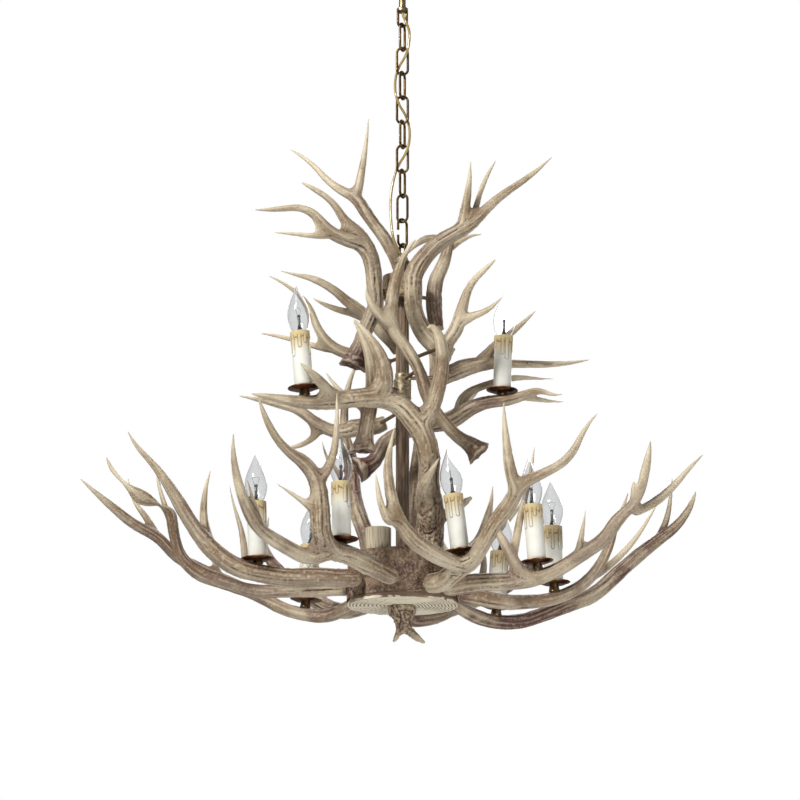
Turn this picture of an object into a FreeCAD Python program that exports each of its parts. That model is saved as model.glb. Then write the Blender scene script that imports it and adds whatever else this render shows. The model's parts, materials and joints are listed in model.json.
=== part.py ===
import FreeCAD, Part
import math
import os

os.makedirs("parts", exist_ok=True)
V = FreeCAD.Vector

# Antler chandelier on a chain.  Millimetres, +Z up, +X to the right and +Y to the back.
# The origin is the centre of the ceiling mount, in the plane of the ceiling.

# ---------------------------------------------------------------- driving dimensions
seat_gap = 0.3            # clearance between pieces that rest on or against each other
slip_fit = 0.05           # radial clearance of a tube, rod or cable holder in its hole

# ceiling fitting
bracket_length = 84
bracket_width = 20
bracket_thickness = 3
screw_spacing = 60        # between the two ceiling screw holes
screw_hole_radius = 2.6
stem_radius = 5.85
stem_bore = 3.6
stem_length = 86
nut_height = 5
nut_across_flats = 18
canopy_radius = 55
canopy_depth = 26
canopy_wall = 1.2
canopy_neck = 7           # the neck that a small screw clamps to the stem
collar_radius = 9.6
collar_height = 7
collar_overlap = 5        # the stem's end inside the collar

# chain and the two bows that it hangs between
wire_radius = 2.1
link_length = 51          # outside
link_width = 22           # outside
chain_gap = 0.3           # between two wires that bear on each other
link_turns = [64, 0, 64, -5, 66, -5, 64, -24, 38]    # each link's plane about the vertical, degrees
link_mouth = 9            # the opening in the side of the last link
bow_wire_radius = 2.25
bow_half_width = 7.2      # to the middle of the wire
ceiling_bow_height = 28   # outside, below the collar
lamp_bow_height = 26      # outside, above the top cap
lamp_bow_turn = -52       # the lamp's bow about the vertical, degrees

# cable
cable_radius = 2.25
cable_side = 13           # how far out the cable swings beside the chain

# column and hubs
column_radius = 10.8
column_bore = 7.2
column_flutes = 12
flute_radius = 1.6
centre_tube_radius = 6.5
centre_tube_bore = 5
cap_radius = 10.6
cap_height = 8
drum_radius = 32
drum_height = 40
drum_wall = 2
drum_drop = 24            # from the top of the column to the top of the drum
ball_radius = 14.5
ball_neck_radius = 12
ball_height = 51
column_top_height = 563   # above the underside of the stump
ball_rise = 30            # from the middle of the column up to the middle of the ball

# stump
stump_radius = 88
stump_height = 80
stump_wall = 9
stump_disc = 9            # thickness of the end-grain slice
stub_radius = 20.5
stub_height = 36
stub_place = [-38, -52]   # middle of the stub on the stump
block_length = 36
block_width = 18
block_height = 16

# fixing screws of the antlers
stud_radius = 3
stud_depth = 12           # how far a screw reaches into what carries it
spacer_radius = 8         # the brass spacer between the drum and the left crown antler

# candles
post_radius = 5
boss_radius = 9
boss_top_radius = 7
dish_radius = 25.6
dish_flat_margin = 1      # flat of the dish around the sleeve
dish_depth = 5
dish_thickness = 1.2
sleeve_radius = 14.5
sleeve_wall = 1.6
sleeve_length = 92
sleeve_cup_radius = 15.6
sleeve_cup_height = 11
holder_radius = 11.6
holder_height = 26
holder_drop = 4           # from the sleeve's rim down to the lampholder's rim
socket_radius = 7.6
socket_depth = 22
bulb_radius = 17.5
bulb_length = 74          # glass above the sleeve
bulb_neck_radius = 11
cap_shell_radius = 7
cap_shell_length = 20
glass_wall = 1.2

# ---------------------------------------------------------------- heights that follow
link_middle = link_length - 2 * wire_radius
bearing = 2 * wire_radius + chain_gap
link_pitch = link_middle - bearing
collar_top = -(stem_length - collar_overlap)
collar_bottom = collar_top - collar_height
ceiling_bow_wire = collar_bottom - ceiling_bow_height + bow_wire_radius
first_hinge = ceiling_bow_wire
bow_bearing = wire_radius + bow_wire_radius + chain_gap
hinges = [first_hinge]
for k in range(len(link_turns)):
    above = bow_bearing if k == 0 else bearing
    hinges.append(hinges[-1] + above - link_middle)
lamp_bow_wire = hinges[-1] + bow_bearing
cap_top = lamp_bow_wire + bow_wire_radius - lamp_bow_height
column_top = cap_top - cap_height
lamp_zero = column_top - column_top_height      # the underside of the stump
hub_bore = column_radius + slip_fit
ball_middle = (stump_height + column_top_height) / 2 + ball_rise      # above the stump's underside
drum_foot = column_top_height - drum_drop - drum_height
dish_flat_radius = sleeve_radius + dish_flat_margin


def save(name, *solids):
    """One node: a solid, or a group of separate solids."""
    shape = solids[0] if len(solids) == 1 else Part.makeCompound(list(solids))
    if not shape.isValid():
        print("NOT VALID", name)
    shape.exportStep("parts/" + name + ".step")


def cylinder(radius, bottom, top, x=0, y=0):
    return Part.makeCylinder(radius, top - bottom, V(x, y, bottom))


def ring(outer, inner, bottom, top, x=0, y=0):
    return cylinder(outer, bottom, top, x, y).cut(cylinder(inner, bottom - 1, top + 1, x, y))


def lathe(profile):
    """A profile of (radius, height) points turned about the vertical."""
    points = [V(radius, 0, height) for radius, height in profile]
    face = Part.Face(Part.makePolygon(points + points[:1]))
    return face.revolve(V(0, 0, 0), V(0, 0, 1), 360)


def turned(shape, degrees):
    """A piece made on the vertical axis, turned about it."""
    turn = FreeCAD.Rotation(V(0, 0, 1), degrees)
    return shape.transformed(FreeCAD.Placement(V(0, 0, 0), turn).toMatrix())


def cut_all(body, *tools):
    for tool in tools:
        body = body.cut(tool)
    return body


def around(radius, azimuth, height):
    """A point at a radius and a direction about the vertical axis."""
    angle = math.radians(azimuth)
    return V(radius * math.cos(angle), radius * math.sin(angle), height)


# ---------------------------------------------------------------- ceiling fitting
# A steel strap screwed to the ceiling, with a brass stem through its middle and a cup over it.
strap = Part.makeBox(bracket_length, bracket_width, bracket_thickness,
                     V(-bracket_length / 2, -bracket_width / 2, -bracket_thickness))
strap = cut_all(strap,
                cylinder(stem_radius + slip_fit, -bracket_thickness - 1, 1),
                cylinder(screw_hole_radius, -bracket_thickness - 1, 1, -screw_spacing / 2),
                cylinder(screw_hole_radius, -bracket_thickness - 1, 1, screw_spacing / 2))
save("ceiling_bracket", strap)


def hexagon_nut(top):
    corner = nut_across_flats / math.sqrt(3)
    corners = [around(corner, 60 * k, top - nut_height) for k in range(7)]
    return Part.Face(Part.makePolygon(corners)).extrude(V(0, 0, nut_height))


nut_bore = cylinder(stem_radius + slip_fit, -stem_length, 0)
save("stem_locknut", hexagon_nut(-bracket_thickness).cut(nut_bore))

inner_radius = canopy_radius - canopy_wall
neck_bottom = -canopy_depth - canopy_neck
canopy = lathe([(stem_radius + slip_fit, neck_bottom), (collar_radius, neck_bottom),
                (collar_radius, -canopy_depth), (canopy_radius * 0.62, -canopy_depth),
                (canopy_radius * 0.9, -canopy_depth * 0.62), (canopy_radius, -canopy_depth * 0.18),
                (canopy_radius, 0), (inner_radius, 0), (inner_radius, -canopy_depth * 0.18),
                (canopy_radius * 0.9 - canopy_wall, -canopy_depth * 0.6),
                (canopy_radius * 0.61, -canopy_depth + canopy_wall),
                (stem_radius + slip_fit, -canopy_depth + canopy_wall)])
save("ceiling_canopy", canopy)
save("ceiling_stem", ring(stem_radius, stem_bore, -stem_length, -seat_gap))
collar = lathe([(stem_bore, collar_bottom), (collar_radius - 1, collar_bottom),
                (collar_radius, collar_bottom + 1), (collar_radius, collar_top - 2),
                (stem_radius + 1.5, collar_top),
                (stem_radius + slip_fit, collar_top), (stem_radius + slip_fit, -stem_length),
                (stem_bore, -stem_length)])
save("stem_collar", collar)


# ---------------------------------------------------------------- chain
def rod(x, bottom, top, radius):
    return cylinder(radius, bottom, top, x)


def bend(half_width, height, way, radius):
    """A half ring of wire in the XZ plane, above (way 1) or below (way -1) height."""
    section = Part.Face(Part.Wire([Part.Edge(Part.Circle(V(-half_width, 0, height), V(0, 0, 1), radius))]))
    return section.revolve(V(0, 0, height), V(0, way, 0), 180)


def bow(foot, crown):
    """A wire bow in the XZ plane: two legs from foot and a half ring that reaches crown."""
    way = 1 if crown > foot else -1
    shoulder = crown - way * bow_half_width
    legs = [rod(x, min(foot, shoulder), max(foot, shoulder), bow_wire_radius)
            for x in (-bow_half_width, bow_half_width)]
    return bend(bow_half_width, shoulder, way, bow_wire_radius).multiFuse(legs)


save("ceiling_bow", bow(collar_bottom, ceiling_bow_wire))


def chain_link(hinge_above, rise, turn, mouth):
    """One oval link.  Its lower bend is the hinge of the next link; a mouth leaves its left side open."""
    half = (link_width - 2 * wire_radius) / 2
    top = hinge_above + rise - half
    bottom = hinge_above + rise - link_middle + half
    middle = (top + bottom) / 2
    sides = [rod(half, bottom, top, wire_radius)]
    if mouth:
        sides += [rod(-half, bottom, middle - mouth / 2, wire_radius),
                  rod(-half, middle + mouth / 2, top, wire_radius)]
    else:
        sides += [rod(-half, bottom, top, wire_radius)]
    sides += [bend(half, bottom, -1, wire_radius)]
    return turned(bend(half, top, 1, wire_radius).multiFuse(sides).removeSplitter(), turn)


for k, turn in enumerate(link_turns):
    mouth = link_mouth if k == len(link_turns) - 1 else 0
    save("chain_link_%d" % (k + 1), chain_link(hinges[k], bow_bearing if k == 0 else bearing, turn, mouth))

save("lamp_bow", turned(bow(cap_top, lamp_bow_wire), lamp_bow_turn))


# ---------------------------------------------------------------- cable
def cable_path(points):
    """Straight runs joined by tangent arcs, each as large as its two runs allow."""
    edges = []
    last = points[0]
    radii = []
    for before, corner, after in zip(points, points[1:], points[2:]):
        into, out = corner.sub(before), after.sub(corner)
        half_turn = into.getAngle(out) / 2
        trim = 0.45 * min(into.Length, out.Length)
        radii.append(trim / math.tan(half_turn))
        into.normalize()
        out.normalize()
        start, end = corner.sub(into * trim), corner.add(out * trim)
        chord_middle = start.add(end) * 0.5
        inward = chord_middle.sub(corner)
        inward.normalize()
        middle = corner.add(inward * (radii[-1] / math.cos(half_turn) - radii[-1]))
        edges.append(Part.LineSegment(last, start).toShape())
        edges.append(Part.Arc(start, middle, end).toShape())
        last = end
    edges.append(Part.LineSegment(last, points[-1]).toShape())
    print("cable bends from", round(min(radii)), "to", round(max(radii)), "mm")
    return Part.Wire(edges)


def link_centre(k):
    """Height of the middle of chain link k, counted from 1."""
    return hinges[k] + link_middle / 2


# The cable leaves the stem, swings to the right of link 1, goes through links 2, 4 and 6 from
# side to side, hangs in a wide bow on the left of links 7 to 9 and turns in under the lamp's bow.
cable_points = [V(0, 0, -seat_gap * 10), V(0, 0, collar_bottom - 5), V(6, -10, collar_bottom - 22),
                V(cable_side, -5, collar_bottom - 38)]
side = 1
for k in (2, 4, 6):
    cable_points.append(V(9 * side, -8, link_centre(k) + 12))
    cable_points.append(V(-9 * side, 8, link_centre(k) - 12))
    side = -side
    if k < 6:
        cable_points.append(V(cable_side * side, 0, link_centre(k + 1)))
cable_points += [V(-17, 5, link_centre(7) - 2), V(-20, 1, link_centre(8) + 8),
                 V(-18.5, -4, link_centre(8) - 22), V(-17, -9, link_centre(9) + 1),
                 V(-13.8, -10.8, cap_top + 26), V(-6.7, -5.2, cap_top + 12), V(0, 0, cap_top + 2)]
block_top = lamp_zero + stump_disc + block_height
cable_points.append(V(0, 0, block_top))
cable_route = cable_path(cable_points)
cable_section = Part.Wire([Part.Edge(Part.Circle(cable_points[0], V(0, 0, 1), cable_radius))])
cable = cable_route.makePipeShell([cable_section], True, False)
print("cable length", round(cable_route.Length), "volume ratio",
      round(cable.Volume / (math.pi * cable_radius ** 2 * cable_route.Length), 4))
save("power_cable", cable)


# ---------------------------------------------------------------- column, hubs and stump
def lamp_height(height):
    """Row height of a height above the underside of the stump."""
    return lamp_zero + height


stump_top = lamp_height(stump_height)
cap_bore = centre_tube_radius + slip_fit
cap = lathe([(cable_radius + 1, cap_top - 3), (cap_bore, cap_top - 3), (cap_bore, column_top),
             (cap_radius + 2, column_top), (cap_radius + 2, column_top + 2), (cap_radius, cap_top - 3),
             (cap_radius - 1, cap_top), (cable_radius + 1, cap_top)])
save("top_cap", cap)

column = ring(column_radius, column_bore, stump_top, column_top)
flute_ring = column_radius + flute_radius / 2
for k in range(column_flutes):
    angle = 2 * math.pi * k / column_flutes
    column = column.cut(cylinder(flute_radius, stump_top, column_top,
                                 flute_ring * math.cos(angle), flute_ring * math.sin(angle)))
save("column", column)
tube_bottom = stump_top - stump_wall - nut_height - 4
save("centre_tube", ring(centre_tube_radius, centre_tube_bore, tube_bottom, cap_top - 3))
stump_nut = hexagon_nut(stump_top - stump_wall)
save("stump_nut", stump_nut.cut(cylinder(centre_tube_radius + slip_fit, tube_bottom, stump_top)))

drum_top = column_top - drum_drop
drum_bottom = drum_top - drum_height
drum = lathe([(hub_bore, drum_bottom), (drum_radius - 4, drum_bottom), (drum_radius, drum_bottom + 4),
              (drum_radius, drum_top), (hub_bore, drum_top), (hub_bore, drum_top - drum_wall),
              (drum_radius - drum_wall, drum_top - drum_wall), (drum_radius - drum_wall, drum_bottom + 4),
              (drum_radius - 4, drum_bottom + drum_wall), (hub_bore, drum_bottom + drum_wall)])
save("drum_hub", drum)

ball_centre = lamp_height(ball_middle)
ball_neck = ball_height * 0.36
ball_shoulder = ball_height * 0.28
ball_end = ball_height / 2
ball = lathe([(hub_bore, ball_centre - ball_end), (ball_neck_radius, ball_centre - ball_end),
              (ball_neck_radius, ball_centre - ball_neck), (ball_radius, ball_centre - ball_shoulder),
              (ball_radius, ball_centre + ball_shoulder), (ball_neck_radius, ball_centre + ball_neck),
              (ball_neck_radius, ball_centre + ball_end), (hub_bore, ball_centre + ball_end)])
save("ball_hub", ball)

disc_top = lamp_zero + stump_disc
tube_hole = centre_tube_radius + slip_fit
shell = lathe([(stump_radius - stump_wall, disc_top), (stump_radius, disc_top),
               (stump_radius, stump_top - 3), (stump_radius - 3, stump_top),
               (tube_hole, stump_top), (tube_hole, stump_top - stump_wall),
               (stump_radius - stump_wall, stump_top - stump_wall)])
save("stump_shell", shell)
save("stump_end_disc", cylinder(stump_radius, lamp_zero, disc_top))
block = Part.makeBox(block_length, block_width, block_height,
                     V(-block_length / 2, -block_width / 2, disc_top))
save("terminal_block", block)
save("timber_stub", cylinder(stub_radius, stump_top, stump_top + stub_height, *stub_place))


# ---------------------------------------------------------------- antlers
loft_degree = 2           # keeps a limb close to its circles however unevenly they lie


def against(radius, azimuth, height, depth):
    """Seat on an upright round surface: the spot, the way out of it and the depth for a screw."""
    return around(radius + seat_gap, azimuth, lamp_height(height)), around(1, azimuth, 0), depth


def stump_side(azimuth, height):
    """Seat on the bark, at a height above the underside of the stump."""
    return against(stump_radius, azimuth, height, stud_depth)


def stump_upper(azimuth, radius):
    """Seat on the top of the stump."""
    return around(radius, azimuth, stump_top + seat_gap), V(0, 0, 1), stud_depth


def drum_side(azimuth, rise):
    """Seat on the side of the drum, at a rise above its underside."""
    return against(drum_radius, azimuth, drum_foot + rise, stud_depth)


def ball_side(azimuth, rise):
    """Seat on the ball, at a rise above its middle."""
    return against(ball_radius, azimuth, ball_middle + rise, ball_radius - hub_bore - seat_gap)


def column_side(azimuth, height):
    """Seat on the bare column, at a height above the underside of the stump."""
    return against(column_radius, azimuth, height, column_radius - column_bore - seat_gap)


def below_drum(azimuth, drop):
    """Seat on the bare column, at a drop below the drum."""
    return column_side(azimuth, drum_foot - drop)


def above_stump(azimuth, rise):
    """Seat on the bare column, at a rise above the middle of its stretch below the ball."""
    return column_side(azimuth, (stump_height + ball_middle) / 2 + rise)


def below_ball(azimuth, drop):
    """Seat on the bare column, at a drop below the middle of the ball."""
    return column_side(azimuth, ball_middle - drop)


def limb(points, seat, facing=None):
    """A beam or a tine: a smooth loft through circles square to its line, the first one to facing."""
    places = [seat.add(V(x, y, z)) for x, y, z, radius in points]
    last = len(places) - 1
    across = V(0.3, 1, 0.2)
    circles = []
    for k, place in enumerate(places):
        along = places[min(k + 1, last)].sub(places[max(k - 1, 0)])
        if k == 0 and facing:
            along = V(facing)
        along.normalize()
        across = across.sub(along * across.dot(along))
        across.normalize()
        facing_along = FreeCAD.Rotation(across, along.cross(across), along, "ZXY")
        circle = Part.makeCircle(points[k][3])
        circle.Placement = FreeCAD.Placement(place, facing_along)
        circles.append(Part.Wire([circle]))
    return Part.makeLoft(circles, True, False, False, loft_degree)


antlers = {}
screws = []
column_hollow = cylinder(column_bore, stump_top, column_top)     # no screw reaches into it


def antler(name, seat, held_at, beam, tines, spacer=False):
    """An antler of cast resin: its beam with the tines that branch from it, and the screw that holds it.

    Points are offsets from the seat with the radius there.  The screw ends at point held_at of the beam.
    A beam that starts on its seat stands on it with a flat foot.
    """
    spot, outward, depth = seat
    on_seat = V(beam[0][0], beam[0][1], beam[0][2]).Length == 0
    shape = limb(beam, spot, outward if on_seat else None).multiFuse([limb(tine, spot) for tine in tines])
    antlers[name] = [(spot.add(V(x, y, z)), radius) for x, y, z, radius in beam]
    start = spot.sub(outward * (depth + seat_gap))
    end, end_radius = antlers[name][held_at]
    if spacer:
        reach = end.sub(spot)
        length = reach.Length - end_radius - seat_gap
        sleeve = Part.makeCylinder(spacer_radius, length, spot, reach)
        screws.append(sleeve.cut(Part.makeCylinder(stud_radius + slip_fit, length, spot, reach)))
        start = spot.sub(reach.normalize() * stud_depth)
    if held_at == 0:
        end = end.add((antlers[name][1][0].sub(end)).normalize() * stud_depth)
    way = end.sub(start)
    screws.append(Part.makeCylinder(stud_radius, way.Length, start, way).cut(column_hollow))
    if len(shape.Solids) != 1:
        print("NOT ONE SOLID", name, len(shape.Solids))
    save(name, shape.Solids[0])


antler("front_left_antler", stump_side(-102, 31), 0,
       [(-2, -15, 0, 14), (-30, -38, 10, 14.5), (-53, -60, 17, 14.5), (-74, -76, 23, 14.5),
        (-90, -96, 25, 15), (-103, -120, 41, 15), (-106, -130, 77, 14.5), (-108, -136, 107, 13),
        (-117, -141, 132, 11.5), (-149, -158, 160, 8.5), (-179, -176, 193, 6), (-198, -194, 239, 1.5)],
       [[(-109, -138, 120, 9), (-90, -144, 150, 7), (-82, -144, 198, 5), (-82, -138, 260, 1.5)],
        [(-109, -129, 76, 7), (-141, -138, 97, 4), (-171, -150, 115, 1)],
        [(-90, -96, 25, 13), (-133, -122, 11, 12), (-169, -150, 26, 10.5), (-198, -176, 45, 9.5),
         (-220, -198, 86, 8), (-232, -212, 137, 5), (-233, -218, 178, 1.5)],
        [(-191, -170, 41, 5), (-203, -182, 80, 3.5), (-214, -188, 115, 1)]])

antler("front_right_antler", stump_side(-63, 20), 0,
       [(7, -15, 0, 15.5), (31, -34, 6, 15.5), (51, -52, 18, 14), (69, -74, 28, 13), (82, -96, 47, 12),
        (99, -110, 74, 12), (121, -122, 102, 12), (136, -138, 124, 10.5), (164, -158, 138, 8),
        (196, -174, 152, 7), (225, -190, 187, 5), (253, -202, 225, 1.5)],
       [[(51, -50, 16, 12.5), (35, -78, 21, 13), (0, -108, 32, 13), (-33, -126, 56, 12),
         (-51, -136, 88, 10), (-59, -140, 122, 8.5), (-62, -138, 151, 7.5), (-59, -136, 186, 4.5),
         (-50, -132, 227, 1.5)],
        [(-45, -132, 78, 8.5), (-62, -146, 74, 7), (-72, -152, 94, 5.5), (-77, -154, 117, 4),
         (-81, -152, 147, 1)],
        [(133, -136, 119, 10), (124, -148, 144, 9), (116, -156, 197, 6), (113, -160, 255, 1.5)]])

antler("left_antler", stump_side(-138, 32), 0,
       [(-11, -9, 0, 14), (-47, -21, -1, 15), (-89, -31, -2, 15), (-127, -39, -2, 14),
        (-157, -47, 2, 14), (-187, -55, 9, 14), (-213, -61, 24, 14), (-244, -69, 54, 12.5),
        (-275, -81, 100, 10.5), (-302, -91, 142, 7.5), (-336, -99, 182, 4.5), (-357, -105, 213, 1.5)],
       [[(-224, -63, 33, 8.5), (-241, -49, 84, 7), (-241, -39, 128, 4.5), (-233, -33, 167, 1.5)]])

antler("left_middle_antler", stump_side(180, 28), 0,
       [(0, 0, 0, 12), (-26, -4, -1, 12), (-56, -8, -3, 11.5), (-111, -14, -6, 11),
        (-164, -16, -2, 11), (-196, -20, 9, 11.5), (-236, -26, 25, 11.5), (-258, -32, 46, 10),
        (-269, -40, 78, 9.5), (-276, -48, 112, 8.5), (-305, -52, 129, 8), (-338, -56, 149, 6.5),
        (-362, -58, 173, 4), (-377, -60, 200, 1.5)],
       [[(-273, -44, 98, 7), (-289, -30, 137, 4.5), (-299, -20, 174, 3), (-303, -14, 202, 1.5)]])

antler("left_rear_antler", stump_side(145, 15), 0,
       [(0, 0, 0, 10.5), (-28, 23, -10, 11), (-57, 43, -14, 11), (-85, 58, -9, 11),
        (-118, 75, 3, 10.5), (-158, 90, 25, 10.5), (-207, 102, 50, 10), (-250, 107, 71, 10),
        (-291, 107, 92, 10), (-322, 102, 121, 9.5), (-355, 93, 140, 9), (-388, 84, 162, 8),
        (-420, 75, 188, 5.5), (-453, 67, 217, 1.5)],
       [[(-328, 102, 126, 7), (-347, 113, 159, 6), (-369, 122, 192, 4), (-381, 128, 233, 1.5)],
        [(-222, 104, 57, 7), (-236, 119, 91, 4.5), (-249, 130, 147, 1.5)]])

antler("right_antler", stump_side(-44, 17), 0,
       [(10, -9, 0, 13), (41, -17, 5, 14.5), (72, -23, 7, 14.5), (109, -27, 8, 14),
        (146, -29, 13, 12.5), (182, -35, 27, 11), (214, -43, 47, 11.5), (244, -53, 67, 11),
        (262, -61, 89, 10.5), (284, -69, 112, 9), (308, -81, 160, 7.5), (319, -89, 217, 1.5)],
       [[(137, -28, 11, 11), (118, -37, 23, 10), (101, -45, 49, 8.5), (89, -49, 71, 7),
         (82, -51, 84, 4)],
        [(104, -39, 35, 7.5), (112, -31, 71, 7), (121, -11, 116, 6), (135, 9, 175, 4.5),
         (145, 19, 232, 1.5)],
        [(293, -73, 125, 7), (292, -79, 140, 4.5), (292, -81, 154, 1.5)],
        [(293, -67, 108, 7.5), (318, -61, 120, 7.5), (345, -57, 141, 6.5), (374, -53, 172, 4.5),
         (405, -49, 204, 1.5)],
        [(207, -40, 44, 7), (214, -51, 83, 4), (220, -57, 117, 1)]])

antler("right_middle_antler", stump_side(-11, 16), 0,
       [(0, 0, 0, 12.5), (23, 3, -3, 12.5), (49, 5, -8, 12.5), (78, 7, -11, 12), (114, 9, -10, 11),
        (152, 11, -4, 10), (188, 11, 12, 9.5), (215, 9, 36, 8.5), (234, 5, 67, 8), (245, 1, 97, 6.5),
        (260, -3, 135, 4), (270, -5, 163, 1.5)],
       [[(209, 11, 30, 7), (238, 27, 50, 6.5), (275, 41, 87, 5), (305, 51, 130, 3),
         (324, 55, 163, 1.5)]])

antler("right_rear_antler", stump_side(35, 18), 0,
       [(0, 0, 0, 11), (26, 17, -12, 11.5), (52, 32, -22, 11.5), (77, 44, -26, 11.5), (122, 64, -21, 12.5),
        (160, 81, -6, 12.5), (199, 99, 12, 12), (233, 113, 27, 12), (274, 125, 61, 12),
        (321, 133, 103, 11), (372, 139, 143, 8.5), (400, 142, 177, 6), (414, 142, 210, 1.5)],
       [[(344, 136, 120, 7), (365, 160, 163, 5.5), (375, 177, 207, 3.5), (379, 186, 241, 1.5)]])

antler("back_left_antler", stump_side(124, 17), 0,
       [(0, 0, 0, 11), (-29, 51, -1, 12.5), (-56, 110, 8, 12.5), (-85, 178, 31, 13),
        (-115, 240, 60, 12), (-149, 293, 96, 11.5), (-177, 327, 133, 9.5), (-190, 346, 163, 8),
        (-187, 352, 191, 4.5), (-182, 355, 217, 1.5)],
       [[(-146, 287, 92, 8), (-191, 315, 105, 8), (-218, 336, 132, 7), (-226, 352, 174, 6),
         (-241, 364, 229, 3.5), (-252, 370, 275, 1.5)],
        [(-74, 163, 23, 8), (-90, 203, 67, 6.5), (-96, 219, 120, 3.5), (-100, 225, 157, 1.5)]])

antler("back_right_antler", stump_side(67, 45), 0,
       [(0, 0, 0, 11), (17, 64, 24, 12), (41, 132, 55, 12), (68, 200, 90, 11), (95, 259, 127, 9.5),
        (111, 302, 171, 8), (119, 327, 208, 4.5), (123, 339, 241, 1.5)],
       [[(51, 160, 69, 8), (39, 219, 100, 7), (24, 262, 143, 5.5), (15, 290, 196, 1.5)],
        [(87, 243, 115, 8), (122, 271, 141, 6.5), (160, 293, 185, 3.5), (186, 305, 230, 1.5)]])

antler("back_crossing_antler", stump_side(102, 16), 0,
       [(0, 0, 0, 12), (12, 37, -6, 12), (38, 71, -11, 12), (70, 112, 1, 12),
        (104, 158, 23, 12), (145, 201, 45, 11), (186, 245, 70, 10.5), (222, 285, 102, 9.5),
        (248, 316, 139, 8), (262, 338, 175, 5.5), (266, 350, 208, 1.5)],
       [[(131, 186, 38, 8), (149, 226, 77, 7), (157, 254, 120, 5.5), (154, 273, 154, 1.5)]])

antler("trunk_antler", stump_upper(-47, 63), 0,
       [(0, 0, 0, 19), (0, -5, 42, 19), (0, -28, 75, 17.5), (-2, -48, 112, 16), (-3, -62, 144, 17),
        (-13, -70, 173, 17.5), (-31, -74, 200, 17.5), (-56, -78, 220, 16.5), (-98, -90, 224, 16),
        (-144, -102, 216, 14), (-170, -109, 212, 12.5), (-193, -114, 211, 11.5), (-222, -122, 213, 8.5),
        (-253, -128, 217, 5), (-277, -132, 220, 1.5)],
       [[(-16, -71, 184, 17), (5, -72, 219, 13), (16, -76, 263, 11.5), (18, -80, 303, 10),
         (12, -84, 328, 8), (3, -86, 339, 5), (-6, -88, 336, 1.5)],
        [(-130, -98, 218, 10.5), (-154, -120, 226, 9), (-173, -145, 239, 8), (-200, -160, 262, 1.5)],
        [(-81, -86, 223, 13), (-71, -94, 258, 13.5), (-78, -100, 288, 11), (-94, -106, 316, 7),
         (-119, -112, 345, 1.5)],
        [(-5, -22, 64, 11), (-13, -46, 84, 9), (0, -78, 107, 6), (15, -86, 131, 1.5)],
        [(6, -8, 44, 10), (28, -6, 57, 7.5), (50, -8, 73, 6), (66, -10, 83, 2)]])

antler("upper_back_antler", stump_upper(76, 62), 0,
       [(0, 0, 0, 13), (2, 12, 61, 13.5), (5, 30, 120, 13.5), (9, 48, 164, 12.5), (14, 69, 205, 12),
        (20, 93, 248, 11), (29, 117, 292, 9.5), (37, 138, 338, 8), (35, 153, 381, 5.5),
        (25, 165, 418, 1.5)],
       [[(15, 78, 221, 8.5), (-6, 105, 254, 7), (-32, 129, 295, 5), (-52, 147, 338, 1.5)],
        [(22, 93, 251, 8), (58, 117, 271, 6.5), (94, 141, 301, 4), (122, 159, 337, 1.5)]])

antler("standing_rear_antler", stump_upper(159, 57), 0,
       [(0, 0, 0, 13.5), (-6, 4, 44, 14), (-20, 24, 87, 13.5), (-27, 62, 139, 12.5),
        (-30, 92, 178, 12), (-37, 116, 210, 10.5), (-42, 134, 241, 8.5), (-42, 143, 286, 7),
        (-31, 146, 337, 4), (-10, 148, 379, 1.5)],
       [[(-23, 46, 119, 7.5), (-45, 81, 149, 6.5), (-66, 108, 181, 4), (-79, 127, 223, 1.5)]])

antler("standing_front_antler", ball_side(-135, -2.5), 5,
       [(-51, -26, -108, 17.5), (-51, -26, -99, 17.5), (-49, -28, -83, 13.5), (-46, -30, -64, 12.5),
        (-40, -34, -32, 12), (-38, -38, 0, 10.5), (-41, -44, 34, 8.5), (-48, -50, 60, 6.5),
        (-68, -60, 99, 1.5)],
       [[(-43, -32, -45, 7), (-67, -20, -25, 5.5), (-93, -12, 0, 4), (-112, -6, 28, 1.5)]])

antler("upper_right_antler", ball_side(15, 19.5), 0,
       [(40, 10, 0, 13), (64, 16, 12, 13.5), (96, 24, 27, 13.5), (129, 34, 34, 9.5),
        (166, 44, 36, 7.5), (213, 56, 38, 6), (293, 74, 51, 1.5)],
       [[(111, 28, 35, 9.5), (134, 32, 61, 8), (168, 38, 91, 5.5), (204, 44, 126, 1.5)]])

antler("crown_front_antler", ball_side(-69, 15.5), 6,
       [(117, -36, -134, 17.5), (109, -36, -125, 16.5), (95, -40, -114, 12.5), (72, -44, -97, 10),
        (55, -48, -77, 10), (38, -52, -52, 10), (20, -54, 0, 10.5), (2, -58, 31, 10.5),
        (-19, -66, 62, 10.5), (-23, -74, 95, 10.5), (-19, -80, 127, 10), (-7, -86, 168, 6.5),
        (17, -90, 205, 1.5)],
       [[(-20, -68, 68, 9.5), (-39, -78, 81, 8.5), (-56, -88, 101, 6), (-63, -94, 122, 1.5)]])

antler("upper_left_rear_antler", below_drum(108, 92), 0,
       [(-16, 50, 0, 11.5), (-45, 46, 6, 11.5), (-81, 42, 17, 10.5), (-110, 40, 30, 9.5),
        (-133, 38, 58, 7.5), (-145, 36, 88, 6), (-174, 34, 123, 4), (-216, 30, 147, 1.5)],
       [[(-107, 40, 25, 7.5), (-140, 52, 34, 5.5), (-179, 62, 48, 4.5), (-229, 70, 60, 1.5)]])

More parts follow.
